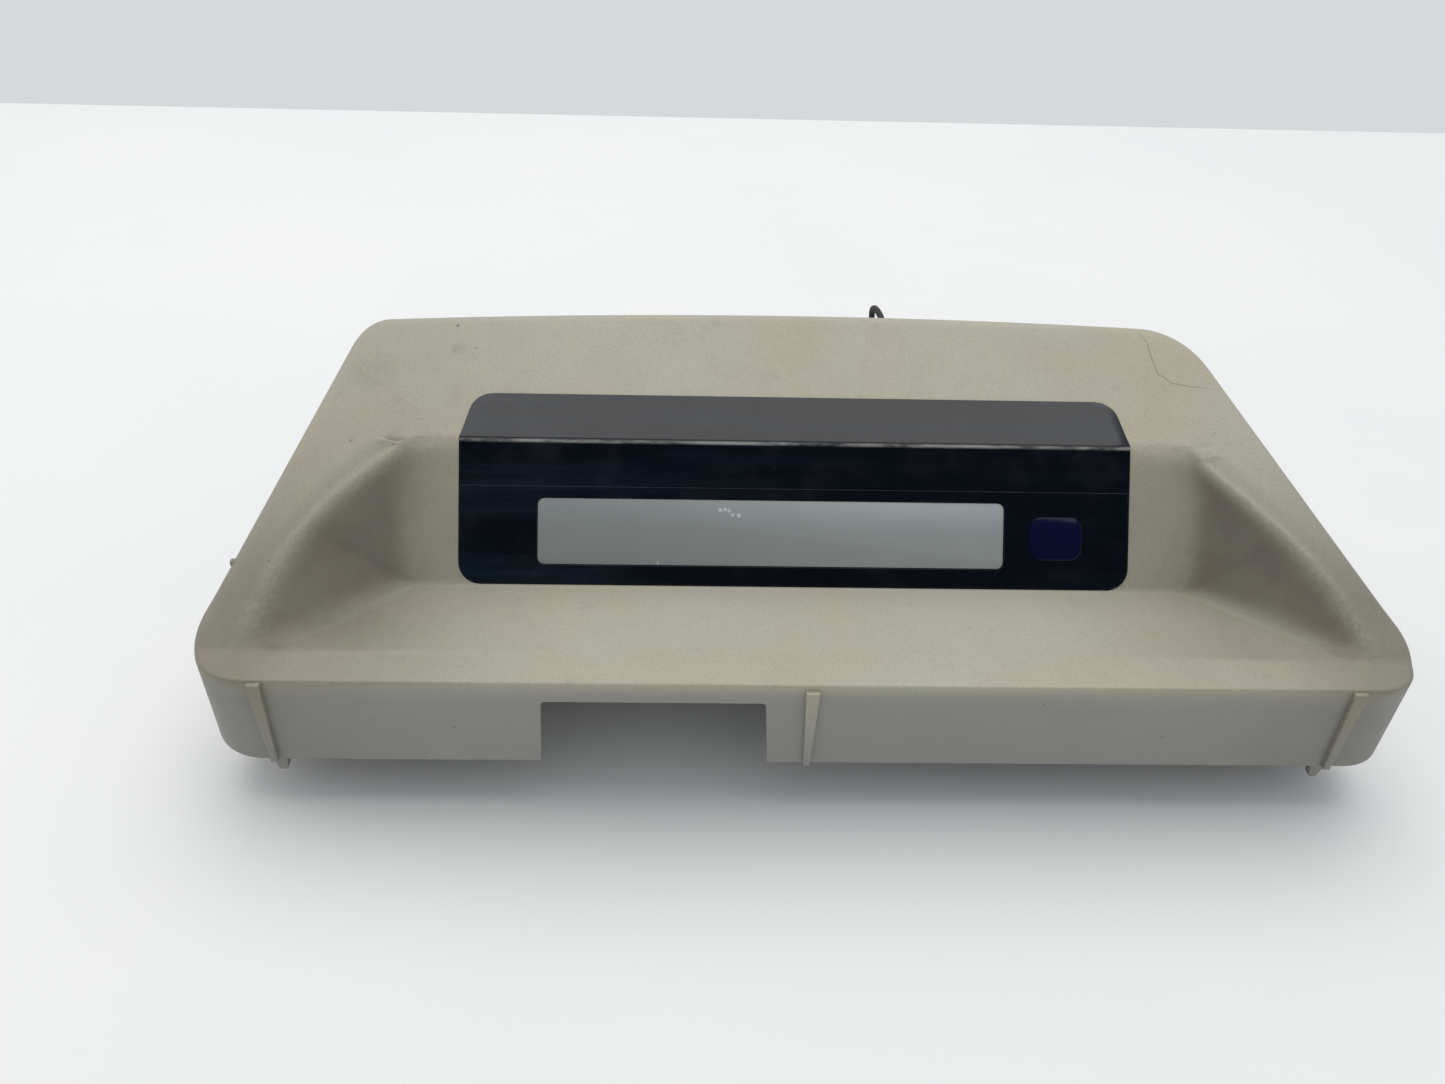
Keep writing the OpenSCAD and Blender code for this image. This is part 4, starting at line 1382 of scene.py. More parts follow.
@dataclass
class Hood:
    """The moulded hood with its ribs, hooks, lens seat, posts and screw bosses."""

    form: HoodForm
    lens: LensForm
    rib_x: float = 144.4
    rib_drop: float = 0.6
    rib_drop_middle: float = 1.8
    rib_base: float = 3.7
    rib_tip: float = 1.9
    rib_proud: float = 2.9
    notch_left: float = -71.3
    notch_right: float = -12.0
    notch_top: float = 6.6
    notch_flare: float = 1.3
    notch_r: float = 1.2
    seat_z: float = -3.9
    board_z: float = -12.4
    nub_y: float = 35.0
    marks: List[Mark] = field(default_factory=list)

    def cutter(self) -> bpy.types.Object:
        """The lens's pocket and both window openings as one cutter."""
        whole = self.lens.plate("pocket", 0.2, 3.0, -1.9, 42.2)
        for window in (DISPLAY_WINDOW, LAMP_WINDOW):
            combine(whole, window.opening(self.form, -4.6, -1.7), "UNION")
        return whole

    def notch(self) -> bpy.types.Object:
        """The cutter of the notch in the front skirt, rounded at its top corners."""
        flare, top, low = self.notch_flare, -self.notch_top, -self.form.skirt_h - 1
        left, right, r = self.notch_left, self.notch_right, self.notch_r
        line = [(right + flare, low), (right, top - r)]
        line += [
            (right - r + r * math.cos(a), top - r + r * math.sin(a))
            for a in np.linspace(0.3, math.pi / 2, 4)
        ]
        line += [
            (left + r + r * math.cos(a), top - r + r * math.sin(a))
            for a in np.linspace(math.pi / 2, math.pi - 0.3, 4)
        ]
        line += [(left, top - r), (left - flare, low)]
        n = len(line)
        points = [spot(x, y, z) for y in (-1.5, self.form.wall + 1.5) for x, z in line]
        faces = [tuple(range(n)), tuple(range(2 * n - 1, n - 1, -1))]
        faces += [(i, i + n, (i + 1) % n + n, (i + 1) % n) for i in range(n)]
        return outward(mesh_object("notch", points, faces))

    def ribs(self) -> List[bpy.types.Object]:
        """The three raised ribs on the skirt's face."""
        made = []
        for x, drop in (
            (-self.rib_x, self.rib_drop),
            (0.0, self.rib_drop_middle),
            (self.rib_x, self.rib_drop),
        ):
            place = plane_at(spot(x, -0.05, -drop), ACROSS, -AWAY)
            size = (self.rib_base, self.rib_proud, self.form.skirt_h - drop)
            rib = block("rib", Matrix.Identity(4), size, 0.0, 0.0)
            take(rib)
            with editing(rib) as shape:
                far = max(v.co.z for v in shape.verts)
                for vert in shape.verts:
                    if vert.co.z > far - TINY:
                        vert.co.x *= self.rib_tip / self.rib_base
                bmesh.update_edit_mesh(rib.data)
                bpy.ops.mesh.bevel(offset=0.28 * MM, segments=2, affect="EDGES")
            rib.matrix_world = place
            made.append(settle(rib))
        return made

    def hooks(self) -> List[bpy.types.Object]:
        """The two hooks behind the skirt that catch the machine's front cover."""
        made = []
        for x in (-self.rib_x, self.rib_x):
            place = plane_at(spot(x, 3.5, 0), ACROSS, AWAY)
            low = -self.form.skirt_h - 6.8
            made.append(block("hook", place, (4, 3, 15.4), low + 3.4, 0.25))
            made.append(block("hook_tip", place, (4, 3, 3.8), low, 0.3, (0.5, 0.85)))
        return made

    def inside_parts(self) -> List[bpy.types.Object]:
        """The lens seat, the four display posts and the two rear screw bosses."""
        f = self.form
        seat = self.lens.plate("seat", 3.0, -2.1, self.seat_z, 44.0)
        for window in (DISPLAY_WINDOW, LAMP_WINDOW):
            cut(seat, window.opening(f, -6, 1))
        soft_edges(seat, 0.3)
        made = [seat]
        for sx in (-88.0, 88.0):
            for sy in (-13.0, 13.0):
                place = f.on_face(-1 + sx, 26.6 - sy)
                top = self.seat_z + 0.4
                made.append(rod("post", place, 7, self.board_z, top, 0.3, 32, 2.2, 6.4))
        for x in (-75.0, 75.0):
            boss = plane_at(spot(x, 90, BASE_Z), ACROSS, AWAY)
            made.append(rod("boss", boss, 8, 1, 35, 0.35, 40, 2.6, 14))
            reach = f.rear_at(x) - f.wall / 2 - 90
            gusset = plane_at(spot(x, 90 + reach / 2, BASE_Z), ACROSS, AWAY)
            made.append(block("gusset", gusset, (3, reach, 31), 4, 0.4))
        return made

    def nub(self) -> bpy.types.Object:
        """The small moulding nub on the left side wall, just below its edge."""
        f, y = self.form, self.nub_y
        edge = (f.reach_left - f.normal_left[1] * y) / f.normal_left[0]
        place = plane_at(spot(edge + 2.9, y, f.slope * (y - f.lip) - 2.7), -AWAY, UP)
        return rod("nub", place, 2.3, 0, 2.7, 0.5, 24)

    def paint(self, hood: bpy.types.Object) -> None:
        """Paints the hood's mesh with painted shade, grimy soiling, rubbed edges and greyer
        walls.

        Each value is 0 to 1 at each vertex, read by AgedPlastic; the recess, the lip's
        ends, the ramp's wings and the walls each have their own share, as photographed;
        their darkening is painted shade, partly soiling.
        """
        f, mesh = self.form, hood.data
        co = np.empty(len(mesh.vertices) * 3)
        mesh.vertices.foreach_get("co", co)
        x, y, z = (co.reshape(-1, 3) / MM + np.array((0, Y_MID, BASE_Z))).T
        p = f.planes(x, y, 0.0)
        bed, top = np.maximum(p["floor"], p["face"]), np.maximum(0, p["ramp"])
        low = np.maximum(bed, p["side"])
        far, left = np.abs(x), 1.0 * (x < 0)
        outer = z > np.minimum(top, low) - 2.0
        near = 1 - ease(y, 12, 30)
        sunk = ease(top - low, -1.4 + 0.4 * near, 4.2 - 2.2 * near)
        sunk *= ease(y, f.lip - 1.5, f.lip + 1.5) * outer
        above = (1 - sunk) * outer
        on_side = swing(p["side"] - bed, 0.5, 1.2)
        on_face = swing(p["face"] - p["floor"], 1, 2.5)
        ends = slide(far, 62, 122) ** 1.4
        corner = np.abs(bed - p["side"]) / 1.9
        crease = np.abs(p["floor"] - p["face"]) / 1.5
        wings = slide(far, 112, 152) * slide(76 - y, 0, 50)

        # painted shade with grimy soiling: darker in the recess's corners and crease, at
        # its left front, on its side walls and on the wings
        grime_and_shade = 0.16 * bell(corner, 0, 4.5) + 0.12 * bell(crease, 0, 1.5)
        grime_and_shade += 0.42 * bell(x, -128, 22) * bell(y, 24, 12) + 0.06 * on_side
        grime_and_shade = grime_and_shade * sunk + 0.08 * wings * above

        # painted shade with some soiling: the recess's side walls, the floor's and face's
        # ends, the lip's ends, the wings and the inside near the front
        shade_and_soiling = (0.86 - 0.06 * left) * on_side
        shade_and_soiling += (0.44 + 0.04 * left) * ends * (1 - on_side)
        shade_and_soiling += 0.18 * on_face * (1 - on_side) * (1 - ends)
        shade_and_soiling = np.maximum(shade_and_soiling, 0.7 * near * bell(corner, 0, 4.0) * (far > 100))
        lip_end = (0.18 + 0.2 * left) * ease(far, 60, 125)
        lip_end *= ease(-y, -f.lip - 4, -f.lip + 2)
        back_left = 0.12 * left * slide(-x, 60, 120)
        on_top = np.maximum((0.56 - 0.12 * left) * wings + back_left, lip_end)
        shade_and_soiling = shade_and_soiling * sunk + on_top * above
        shade_and_soiling += ~outer * 0.24 * ease(far, 95, 150) * (y < 40)

        # the walls below the top turn greyer and darker: less yellowed plastic, and painted
        # shade
        walls = slide(top - z, 1.5, 4.5) * (1 - sunk)
        wear = bell(top - low, 0, 2.2) * (y > f.lip + 4)
        for name, value in (
            ("grime_and_shade", grime_and_shade), ("shade_and_soiling", shade_and_soiling), ("wear", wear), ("walls", walls),
        ):
            layer = mesh.attributes.new(name, "FLOAT", "POINT")
            layer.data.foreach_set("value", value.astype(np.float32))

    def build(self) -> bpy.types.Object:
        """Models, dresses and places the hood."""
        cover = Shell(self.form).build()
        LOG.info("shell: %d faces", len(cover.data.polygons))
        cut(cover, self.cutter())
        cut(cover, self.notch())
        hole = plane_at(spot(*self.form.lead_exit()), ACROSS, -UP)
        cut(cover, rod("lead_hole", hole, 5.6, -6, 6))
        extra = self.ribs() + self.hooks() + self.inside_parts() + [self.nub()]
        hood = join("hood_cover", [cover, *extra])
        smooth(hood, 38)
        self.paint(hood)
        dress(hood, AgedPlastic().build(self.marks))
        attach(hood, "root")
        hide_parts("hood_shell")
        return hood


@dataclass
class Lens:
    """The glossy black display lens with its two panes and printed film."""

    form: HoodForm
    shape: LensForm
    back: float = -1.7
    proud: float = 0.3
    film_t: float = 0.2
    film_top: float = 13.6
    film_margin: float = 0.35
    pane_gap: float = 0.1

    def cover(self) -> bpy.types.Object:
        """The bent cover with its openings and rounded edges."""
        shape = self.shape
        cover = shape.plate("lens_cover_gloss", 0.0, self.proud, self.back, shape.end)
        soft_edges(cover, 0.28, 3)
        for window in (DISPLAY_WINDOW, LAMP_WINDOW):
            cut(cover, window.block(self.form, self.back - 1, 3, 0))
        smooth(cover, 30)
        # the lens's crest, where its painted highlight runs
        crest = (self.form.crest_y - Y_MID - 0.5) * MM
        dress(cover, GlossBlack(crest=crest).build())
        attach(cover, "root")
        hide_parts("lens_cover")
        return cover

    def film(self) -> bpy.types.Object:
        """The thin printed film on the cover's front, cut out round both windows."""
        top, low = self.film_top, self.shape.end - self.film_margin
        width = 2 * (self.shape.half - self.film_margin)
        middle, high = self.shape.centre_x, top - 8
        film = rounded_block(
            "face_film_print", self.form.on_face(middle, (high + low) / 2),
            (width, low - high), self.proud - 0.05, self.proud + self.film_t, 5.8,
        )
        trim = rounded_block(
            "trim", self.form.on_face(middle, (high - 4 + top) / 2),
            (width + 9, top - high + 4), self.proud - 1, 3, 0.2,
        )
        cut(film, trim)
        for window, gap in ((DISPLAY_WINDOW, -0.15), (LAMP_WINDOW, -0.01)):
            cut(film, window.block(self.form, self.proud - 1, 3, gap))
        soft_edges(film, 0.05, 1)
        smooth(film, 30)
        finish = GlossBlack("black_film", dust=srgb(96, 100, 106), film=0.02)
        dress(film, finish.build())
        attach(film, "root")
        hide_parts("face_film")
        return film

    def display_pane(self) -> bpy.types.Object:
        """The display window's clear pane, its front level with the cover's."""
        pane = DISPLAY_WINDOW.block(self.form, self.back, self.proud, self.pane_gap)
        pane.name = "display_pane"
        soft_edges(pane, 0.15, 2)
        smooth(pane, 30)
        heights = [v.co.z for v in pane.data.vertices]
        glass = WindowPane(lower=min(heights) + 9 * MM, upper=max(heights) - 0.2 * MM)
        flecks = [
            (self.form.on_face(x, down) @ Vector((0, 0, 0.3 * MM)), size, 0.5)
            for x, down, size in FLECKS
        ]
        dress(pane, glass.build(flecks))
        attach(pane, "root")
        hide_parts("window_pane")
        return pane

    def blue_pane(self) -> bpy.types.Object:
        """The indicator's blue pane, its front almost level with the film's."""
        front = self.proud + self.film_t - 0.02
        pane = LAMP_WINDOW.block(self.form, self.back, front, 0.02)
        pane.name = "blue_pane"
        soft_edges(pane, 0.03, 2)
        smooth(pane, 30)
        blue = GlossBlack(
            "indicator_blue", srgb(5, 9, 46), srgb(8, 14, 56), srgb(60, 70, 110)
        )
        dress(pane, blue.build())
        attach(pane, "root")
        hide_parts("indicator_pane")
        return pane

    def build(self) -> List[bpy.types.Object]:
        """Models and dresses the lens, its film and its panes."""
        return [self.cover(), self.film(), self.display_pane(), self.blue_pane()]


# ---------- the display's lead ----------


LEAD_BLACK = Finish(
    "lead_black", (28, 28, 29), (42, 41, 40), 5, 0.22, 0.01, (0.42, 0.58)
)
TIE_NYLON = Finish("tie_nylon", (34, 34, 35), (48, 48, 49), 3, 0.2, 0.01, (0.35, 0.5))
CONNECTOR_NYLON = Finish(
    "connector_nylon", (226, 222, 208), (214, 208, 190), 6, 0.3, 0.012, (0.36, 0.5)
)
GROMMET_RUBBER = Finish(
    "grommet_rubber", (30, 30, 31), (46, 45, 44), 2.5, 0.18, 0.015, (0.6, 0.75)
)


@dataclass
class DisplayLead:
    """The display's free lead: out of the rear wall, down, and wound behind the hood."""

    form: HoodForm
    diameter: float = 2.0
    coil_r: float = 11.5
    coil_x: float = 11.0
    coil_back: float = 44.2
    turn_step: float = 1.95

    def __post_init__(self) -> None:
        """Works out the route's fixed places."""
        self.lead_x, self.wall_y, self.lead_z = self.form.lead_exit()
        self.coil_y = self.wall_y + self.coil_back
        self.low = BASE_Z + 1.7
        self.rest = BASE_Z + 1.2

    def fall(self) -> List[Place]:
        """The route from the wall's middle, straight out, over and down."""
        steps = (
            (0, 2, 0), (0, 4.8, 0.3), (-0.1, 7.4, 1.1), (-0.4, 9.8, 2), (-0.9, 12.2, 2.8),
            (-1.5, 14.5, 3.2), (-1.9, 16.8, 2.8), (-2.1, 18.9, 1.6), (-2, 20.4, -0.2),
            (-1.8, 21.2, -2.4), (-1.7, 21.5, -5.5), (-1.7, 21.6, -10), (-2.1, 21.7, -15.5),
            (-2.8, 21.8, -21.5), (-3.6, 21.8, -27.5), (-4.3, 21.7, -33.5),
            (-4.9, 21.6, -39.5), (-5.3, 21.6, -45.5), (-5.5, 21.6, -51.5),
            (-5.5, 21.6, -57.5), (-5.5, 21.6, -63.5), (-5.5, 21.7, -69.5),
            (-5.4, 22, -75.3), (-5.3, 22.8, -81), (-5.2, 24.6, -86),
        )
        route = [(self.lead_x, self.wall_y - self.form.wall / 2, self.lead_z)]
        route += [
            (self.lead_x + a, self.wall_y + b, self.lead_z + c) for a, b, c in steps
        ]
        run_out = (
            (22.9, 27.6, 2.2), (23.2, 31.6, 0.4), (24.0, 35.8, 0.4), (24.9, 40.4, 0.5),
        )
        route += [(a, self.wall_y + b, self.rest + c) for a, b, c in run_out]
        return route

    def turns(self) -> List[Place]:
        """The coil: two turns beside each other, one on top, and the crossing between."""
        r_out = self.coil_r + self.turn_step / 2
        r_in = self.coil_r - self.turn_step / 2
        up = self.turn_step * math.sin(math.pi / 3)
        keys = (
            (0, r_out + 1.95, 0), (35, r_out + 0.97, 0), (70, r_out, 0), (110, r_out, 0),
            (330, r_out, 0), (360, r_out, 0), (395, self.coil_r, 0), (430, r_in, 0),
            (470, r_in, 0), (690, r_in, 0), (720, r_in, 0), (737.5, r_in - 0.55, 0.72),
            (755, r_in - 0.62, 1.45), (772.5, r_in + 0.05, 1.98), (790, self.coil_r, up),
            (830, self.coil_r, up), (1050, self.coil_r, up), (1080, self.coil_r, up + 0.02),
            (1097.5, self.coil_r + 0.5, up + 0.33), (1115, r_out, up + 0.08),
            (1132.5, r_out + 0.55, up + 0.28), (1146, r_out + 1.25, up + 0.1),
        )
        table = np.array(keys)
        route = []
        for angle in np.arange(0, 1146.1, 17.5):
            r = np.interp(angle, table[:, 0], table[:, 1])
            z = np.interp(angle, table[:, 0], table[:, 2])
            a = math.radians(angle)
            route.append(
                (self.coil_x + r * math.cos(a), self.coil_y + r * math.sin(a), self.low + z)
            )
        return route

    def tail(self) -> List[Place]:
        """The free end, off the coil's top turn to its plug."""
        steps = (
            (2.8, 13.5, 2.0), (-0.8, 15.1, 1.7), (-4.3, 16.8, 1.5),
            (-7.5, 18.9, 1.4), (-10.4, 21.7, 1.4),
        )
        return [(self.coil_x + a, self.coil_y + b, self.rest + c) for a, b, c in steps]

    @staticmethod
    def curve(
        name: str, route: Sequence[Place], diameter: float
    ) -> bpy.types.Object:
        """A round cord along a route, as one open smooth spline.

        Args:
            name: the piece's name.
            route: points in the drawing's frame.
            diameter: the cord's diameter in millimetres.

        Returns:
            The curve object.
        """
        data = bpy.data.curves.new(name, "CURVE")
        data.dimensions = "3D"
        data.bevel_depth = diameter / 2 * MM
        data.bevel_resolution = 5
        data.resolution_u = 6
        data.use_fill_caps = True
        line = data.splines.new("BEZIER")
        line.bezier_points.add(len(route) - 1)
        for point, place in zip(line.bezier_points, route):
            point.co = spot(*place)
            point.handle_left_type = point.handle_right_type = "AUTO"
        return added(name, data)

    def length(self, item: bpy.types.Object) -> float:
        """The curve's own length in metres."""
        copy = item.data.copy()
        copy.bevel_depth = 0
        probe = added("probe", copy)
        bpy.context.view_layer.update()
        mesh = probe.evaluated_get(bpy.context.evaluated_depsgraph_get()).to_mesh()
        total = sum(
            (mesh.vertices[e.vertices[0]].co - mesh.vertices[e.vertices[1]].co).length
            for e in mesh.edges
        )
        bpy.data.objects.remove(probe)
        bpy.data.curves.remove(copy)
        return total

    def tie(self) -> bpy.types.Object:
        """The moulded tie round the coil's turns: a rounded band."""
        width, high = self.turn_step + self.diameter + 1.8, 1.2 + 1.69 + 2.0
        centre = spot(self.coil_x, self.coil_y - self.coil_r, BASE_Z + 0.1)
        place = plane_at(centre, AWAY, UP)
        place = place @ Matrix.Translation((0, high / 2 * MM, 0))
        band = rounded_block("band", place, (width, high), -1.25, 1.25, 1.3)
        cut(band, rounded_block("hole", place, (width - 1.2, high - 1.2), -2, 2, 1.0))
        soft_edges(band, 0.12)
        smooth(band, 35)
        band.name = "lead_tie_band"
        dress(band, TIE_NYLON.build())
        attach(band, "root")
        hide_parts("lead_tie")
        return band

    def plug(self) -> bpy.types.Object:
        """The four-way plug on the lead's free end, ribbed, with its contact holes."""
        x, y, z = self.tail()[-1]
        way = Vector((-math.sqrt(0.5), math.sqrt(0.5), 0))
        side = Vector((-math.sqrt(0.5), -math.sqrt(0.5), 0))
        place = plane_at(spot(x, y, z), side, UP)
        if place.to_3x3() @ UP @ way < 0:
            place = plane_at(spot(x, y, z), -side, UP)
        body = block("body", place, (10.4, 4.8, 12.0), 0.0, 0.35)
        for k in range(4):
            hole = place @ Matrix.Translation(((k - 1.5) * 2.5 * MM, 0, 0))
            cut(body, block("hole", hole, (0.9, 0.9, 8), 6.0))
        parts = [body]
        for k in range(5):
            rib = place @ Matrix.Translation(((k - 2) * 2.5 * MM, 2.2 * MM, 0))
            parts.append(block("rib", rib, (0.5, 0.38, 7.5), 3.4, 0.1))
        plug = join("free_plug", parts)
        soft_edges(plug, 0.08, 1)
        smooth(plug, 35)
        dress(plug, CONNECTOR_NYLON.build())
        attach(plug, "root")
        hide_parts("end_plug")
        return plug

    def grommet(self) -> bpy.types.Object:
        """The rubber grommet in the rear wall, with rounded flanges and a bore."""
        place = plane_at(spot(*self.form.lead_exit()), ACROSS, UP)
        place = place @ Matrix.Rotation(math.pi, 4, "X")
        wall = self.form.wall
        parts = [
            rod("neck", place, 5.4, -wall - 1, 1, 0, 40),
            rod("outer", place, 8.0, 0.1, 1.1, 0.35, 40),
            rod("inner", place, 8.0, -wall - 1.1, -wall - 0.1, 0.35, 40),
        ]
        whole = join("lead_grommet_rubber", parts)
        cut(whole, rod("bore", place, 2.2, -9, 9, 0, 32))
        smooth(whole, 35)
        dress(whole, GROMMET_RUBBER.build())
        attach(whole, "root")
        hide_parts("lead_grommet")
        return whole

    def inside(self) -> bpy.types.Object:
        """The lead inside the hood, from the board's plug to the rear wall."""
        w, z = self.wall_y, self.lead_z
        f = self.form
        corner = Vector((0, f.crest_y, f.crest_z))
        plug = corner - f.face_dir * 33.6 + f.face_out * -23.0
        route = [
            (52.0, plug.y, plug.z), (52.0, plug.y + 2.4, plug.z - 1.7),
            (51.6, plug.y + 6, plug.z - 3.6), (50.2, plug.y + 11, plug.z - 4.6),
            (47.6, w - 25, z - 56), (44.4, w - 20.2, z - 49.6), (41, w - 16.2, z - 40),
            (37.4, w - 12.8, z - 29), (34, w - 9.8, z - 18), (31.2, w - 7.6, z - 9),
            (29.6, w - 6.2, z - 4), (28.7, w - 4.8, z - 1.2), (28, w - 3, z),
            (28, w - 1.25, z),
        ]
        lead = self.curve("lead_in_hood", route, self.diameter)
        dress(lead, self.jacket())
        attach(lead, "root")
        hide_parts("lead_inside")
        return lead

    @staticmethod
    def jacket() -> bpy.types.Material:
        """The lead's black: the loaded CAD part's own flat one, else a finish."""
        return bpy.data.materials.get("lead_black") or LEAD_BLACK.build()

    def build(self) -> List[bpy.types.Object]:
        route = self.fall() + self.turns() + self.tail()
        cord = self.curve("free_lead", route, self.diameter)
        dress(cord, self.jacket())
        tie, plug = self.tie(), self.plug()
        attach(cord, "root")
        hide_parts("display_lead", "lead_coil", "lead_end")
        length = self.length(cord)
        LOG.info("free lead: %.4f m", length)
        return [cord, tie, plug, self.grommet(), self.inside()]


# ---------- the display unit ----------


METAL, MATT = 1.0, 0.0
# the finish of each CAD part of the display unit by its node's name
UNIT_FINISHES: Dict[str, Finish] = {
    "lens_tape": Finish(
        "black_tape", (44, 43, 43), (60, 58, 56), 4, 0.5, 0.03, (0.7, 0.85)
    ),
    "dust_seal": Finish(
        "seal_foam", (38, 38, 39), (56, 55, 54), 2, 0.6, 0.2, (0.85, 0.95)
    ),
    "display_frame": Finish(
        "frame_steel", (176, 176, 172), (150, 149, 144), 9, 0.6, 0.008, (0.3, 0.5),
        METAL, 0.0, (0.1, 1, 1),
    ),
    "display_glass": Finish(
        "lcd_glass", (150, 156, 146), (138, 146, 138), 16, 1.2, 0.002, (0.08, 0.16)
    ),
    "light_guide": Finish(
        "guide_clear", (226, 230, 228), (214, 220, 218), 8, 0.8, 0.006, (0.16, 0.3)
    ),
    "contact_strips": Finish(
        "strip_rubber", (206, 150, 146), (120, 84, 84), 0.6, 0.4, 0.02, (0.6, 0.8),
        MATT, 0.0, (3, 0.1, 0.1),
    ),
    "backlight_lamps": Finish(
        "lamp_resin", (232, 222, 170), (214, 200, 140), 2, 0.4, 0.01, (0.25, 0.4)
    ),
    "indicator_lamp": Finish(
        "lamp_resin_clear", (214, 220, 236), (196, 204, 226), 2, 0.4, 0.01, (0.2, 0.35)
    ),
    "lamp_shroud": Finish(
        "shroud_white", (232, 231, 226), (218, 216, 208), 8, 0.35, 0.02, (0.45, 0.6)
    ),
    "display_board": Finish(
        "board_green", (34, 92, 56), (26, 78, 46), 1.6, 0.5, 0.02, (0.3, 0.45), MATT, 0.2
    ),
    "board_screws": Finish(
        "screw_steel", (190, 190, 188), (160, 158, 152), 1.5, 0.2, 0.01, (0.22, 0.4), METAL
    ),
    "driver_chips": Finish(
        "chip_black", (34, 34, 35), (44, 43, 43), 2, 0.15, 0.02, (0.55, 0.7)
    ),
    "board_capacitors": Finish(
        "can_metal", (188, 190, 194), (170, 172, 176), 3, 0.25, 0.006, (0.22, 0.38),
        METAL, 0.0, (1, 1, 0.1),
    ),
    "board_resistors": Finish(
        "resistor_black", (30, 30, 32), (44, 43, 42), 0.8, 0.15, 0.01, (0.3, 0.5)
    ),
    "board_socket": Finish(
        "connector_nylon_board", (228, 223, 206), (214, 207, 188), 4, 0.3, 0.012,
        (0.38, 0.52),
    ),
    "lead_plug": Finish(
        "connector_nylon_plug", (224, 219, 202), (210, 203, 184), 4, 0.3, 0.012,
        (0.38, 0.52),
    ),
}


def dress_display_unit(nodes: Dict[str, bpy.types.Object]) -> List[bpy.types.Object]:
    """Dresses the display unit's CAD parts, which keep their own shapes.

    Args:
        nodes: the loaded CAD parts by name.

    Returns:
        The dressed parts.
    """
    for name, finish in UNIT_FINISHES.items():
        materials, made = nodes[name].data.materials, finish.build()
        if not materials:
            materials.append(made)
        for k in range(len(materials)):
            materials[k] = made
    return [nodes[name] for name in UNIT_FINISHES]


# ---------- table and light ----------


@dataclass
class Studio:
    """The pale table that the hood lies on, and soft light from above and behind."""

    table_back: float = 0.624
    table: Finish = Finish(
        "table_white", (238, 238, 237), (235, 236, 236), 240, 0.8, 0.004, (0.5, 0.6)
    )
    sky: Colour = srgb(214, 216, 219)
    daylight: Colour = srgb(240, 242, 246)
    lamp_colour: Colour = (1.0, 0.99, 0.96)
    key_power: float = 12.6
    side_share: float = 0.11
    ambient: float = 0.7

    @staticmethod
    def sheet(name: str, size: Tuple[float, float]) -> bpy.types.Object:
        """A flat sheet at the origin, its size in metres."""
        clear_selection()
        bpy.ops.mesh.primitive_plane_add(size=1)
        made = bpy.context.object
        made.name = name
        with editing(made):
            bpy.ops.transform.resize(value=(size[0], size[1], 1))
        return made

    def table_top(self) -> bpy.types.Object:
        """The table top, its far edge where the photograph shows it."""
        depth = 2.6
        top = self.sheet("table_top", (5.0, depth))
        with editing(top):
            bpy.ops.transform.translate(value=(0, self.table_back - depth / 2, 0))
        dress(top, self.table.build())
        return top

    def lamps(self) -> None:
        """One large soft lamp overhead and behind, and a weaker one from the left."""
        for name, place, size, power in (
            ("overhead_soft", (0.06, 0.46, 1.45), 1.7, self.key_power),
            ("left_soft", (-1.0, 0.25, 0.7), 0.7, self.key_power * self.side_share),
        ):
            data = bpy.data.lights.new(name, "AREA")
            data.shape, data.size, data.energy = "SQUARE", size, power
            data.color = self.lamp_colour
            lamp = added(name, data)
            lamp.location = place
            lamp.rotation_mode = "QUATERNION"
            lamp.rotation_quaternion = (-Vector(place)).to_track_quat("-Z", "Y")

    def card(self) -> bpy.types.Object:
        """A dark card in front, above the camera, that the lens's face mirrors."""
        card = self.sheet("dark_card", (2.6, 1.1))
        lean = Vector((0, 0.35, 1)).normalized()
        card.matrix_world = plane_at(Vector((0, -1.0, 0.72)), ACROSS, lean)
        settle(card)
        bench = Palette("card_dark")
        cloud = bench.noise(60, 4, 0.6, (0.2, 1, 2.5))
        bench.link(
            bench.blend(cloud, (0.01, 0.02, 0.04), (0.04, 0.06, 0.08)),
            bench.shader.inputs["Base Color"],
        )
        bench.set(Roughness=0.9)
        dress(card, bench.material)
        card.visible_camera = card.visible_diffuse = card.visible_shadow = False
        return card

    def world(self) -> None:
        """A pale world: plain to the camera and in reflections, weaker as light."""
        world = bpy.data.worlds.new("studio_world")
        world.use_nodes = True
        tree = world.node_tree
        tree.nodes.clear()
        path, mirrored, seen, light, shown, mix, out = (
            tree.nodes.new("ShaderNode" + kind)
            for kind in (
                "LightPath", "Math", "Math", "Background", "Background", "MixShader",
                "OutputWorld",
            )
        )
        mirrored.operation = seen.operation = "MAXIMUM"
        light.inputs["Color"].default_value = (*self.daylight, 1)
        light.inputs["Strength"].default_value = self.ambient
        shown.inputs["Color"].default_value = (*self.sky, 1)
        for source, target in (
            (path.outputs["Is Transmission Ray"], mirrored.inputs[0]),
            (path.outputs["Is Glossy Ray"], mirrored.inputs[1]),
            (path.outputs["Is Camera Ray"], seen.inputs[0]),
            (mirrored.outputs[0], seen.inputs[1]),
            (seen.outputs[0], mix.inputs["Fac"]),
            (light.outputs[0], mix.inputs[1]),
            (shown.outputs[0], mix.inputs[2]),
            (mix.outputs[0], out.inputs["Surface"]),
        ):
            tree.links.new(source, target)
        bpy.context.scene.world = world

    def build(self) -> None:
        """Sets the table, the lamps, the card and the world."""
        self.table_top()
        self.lamps()
        self.card()
        self.world()
        bpy.context.scene.view_settings.view_transform = "Standard"


# ---------- image points ----------


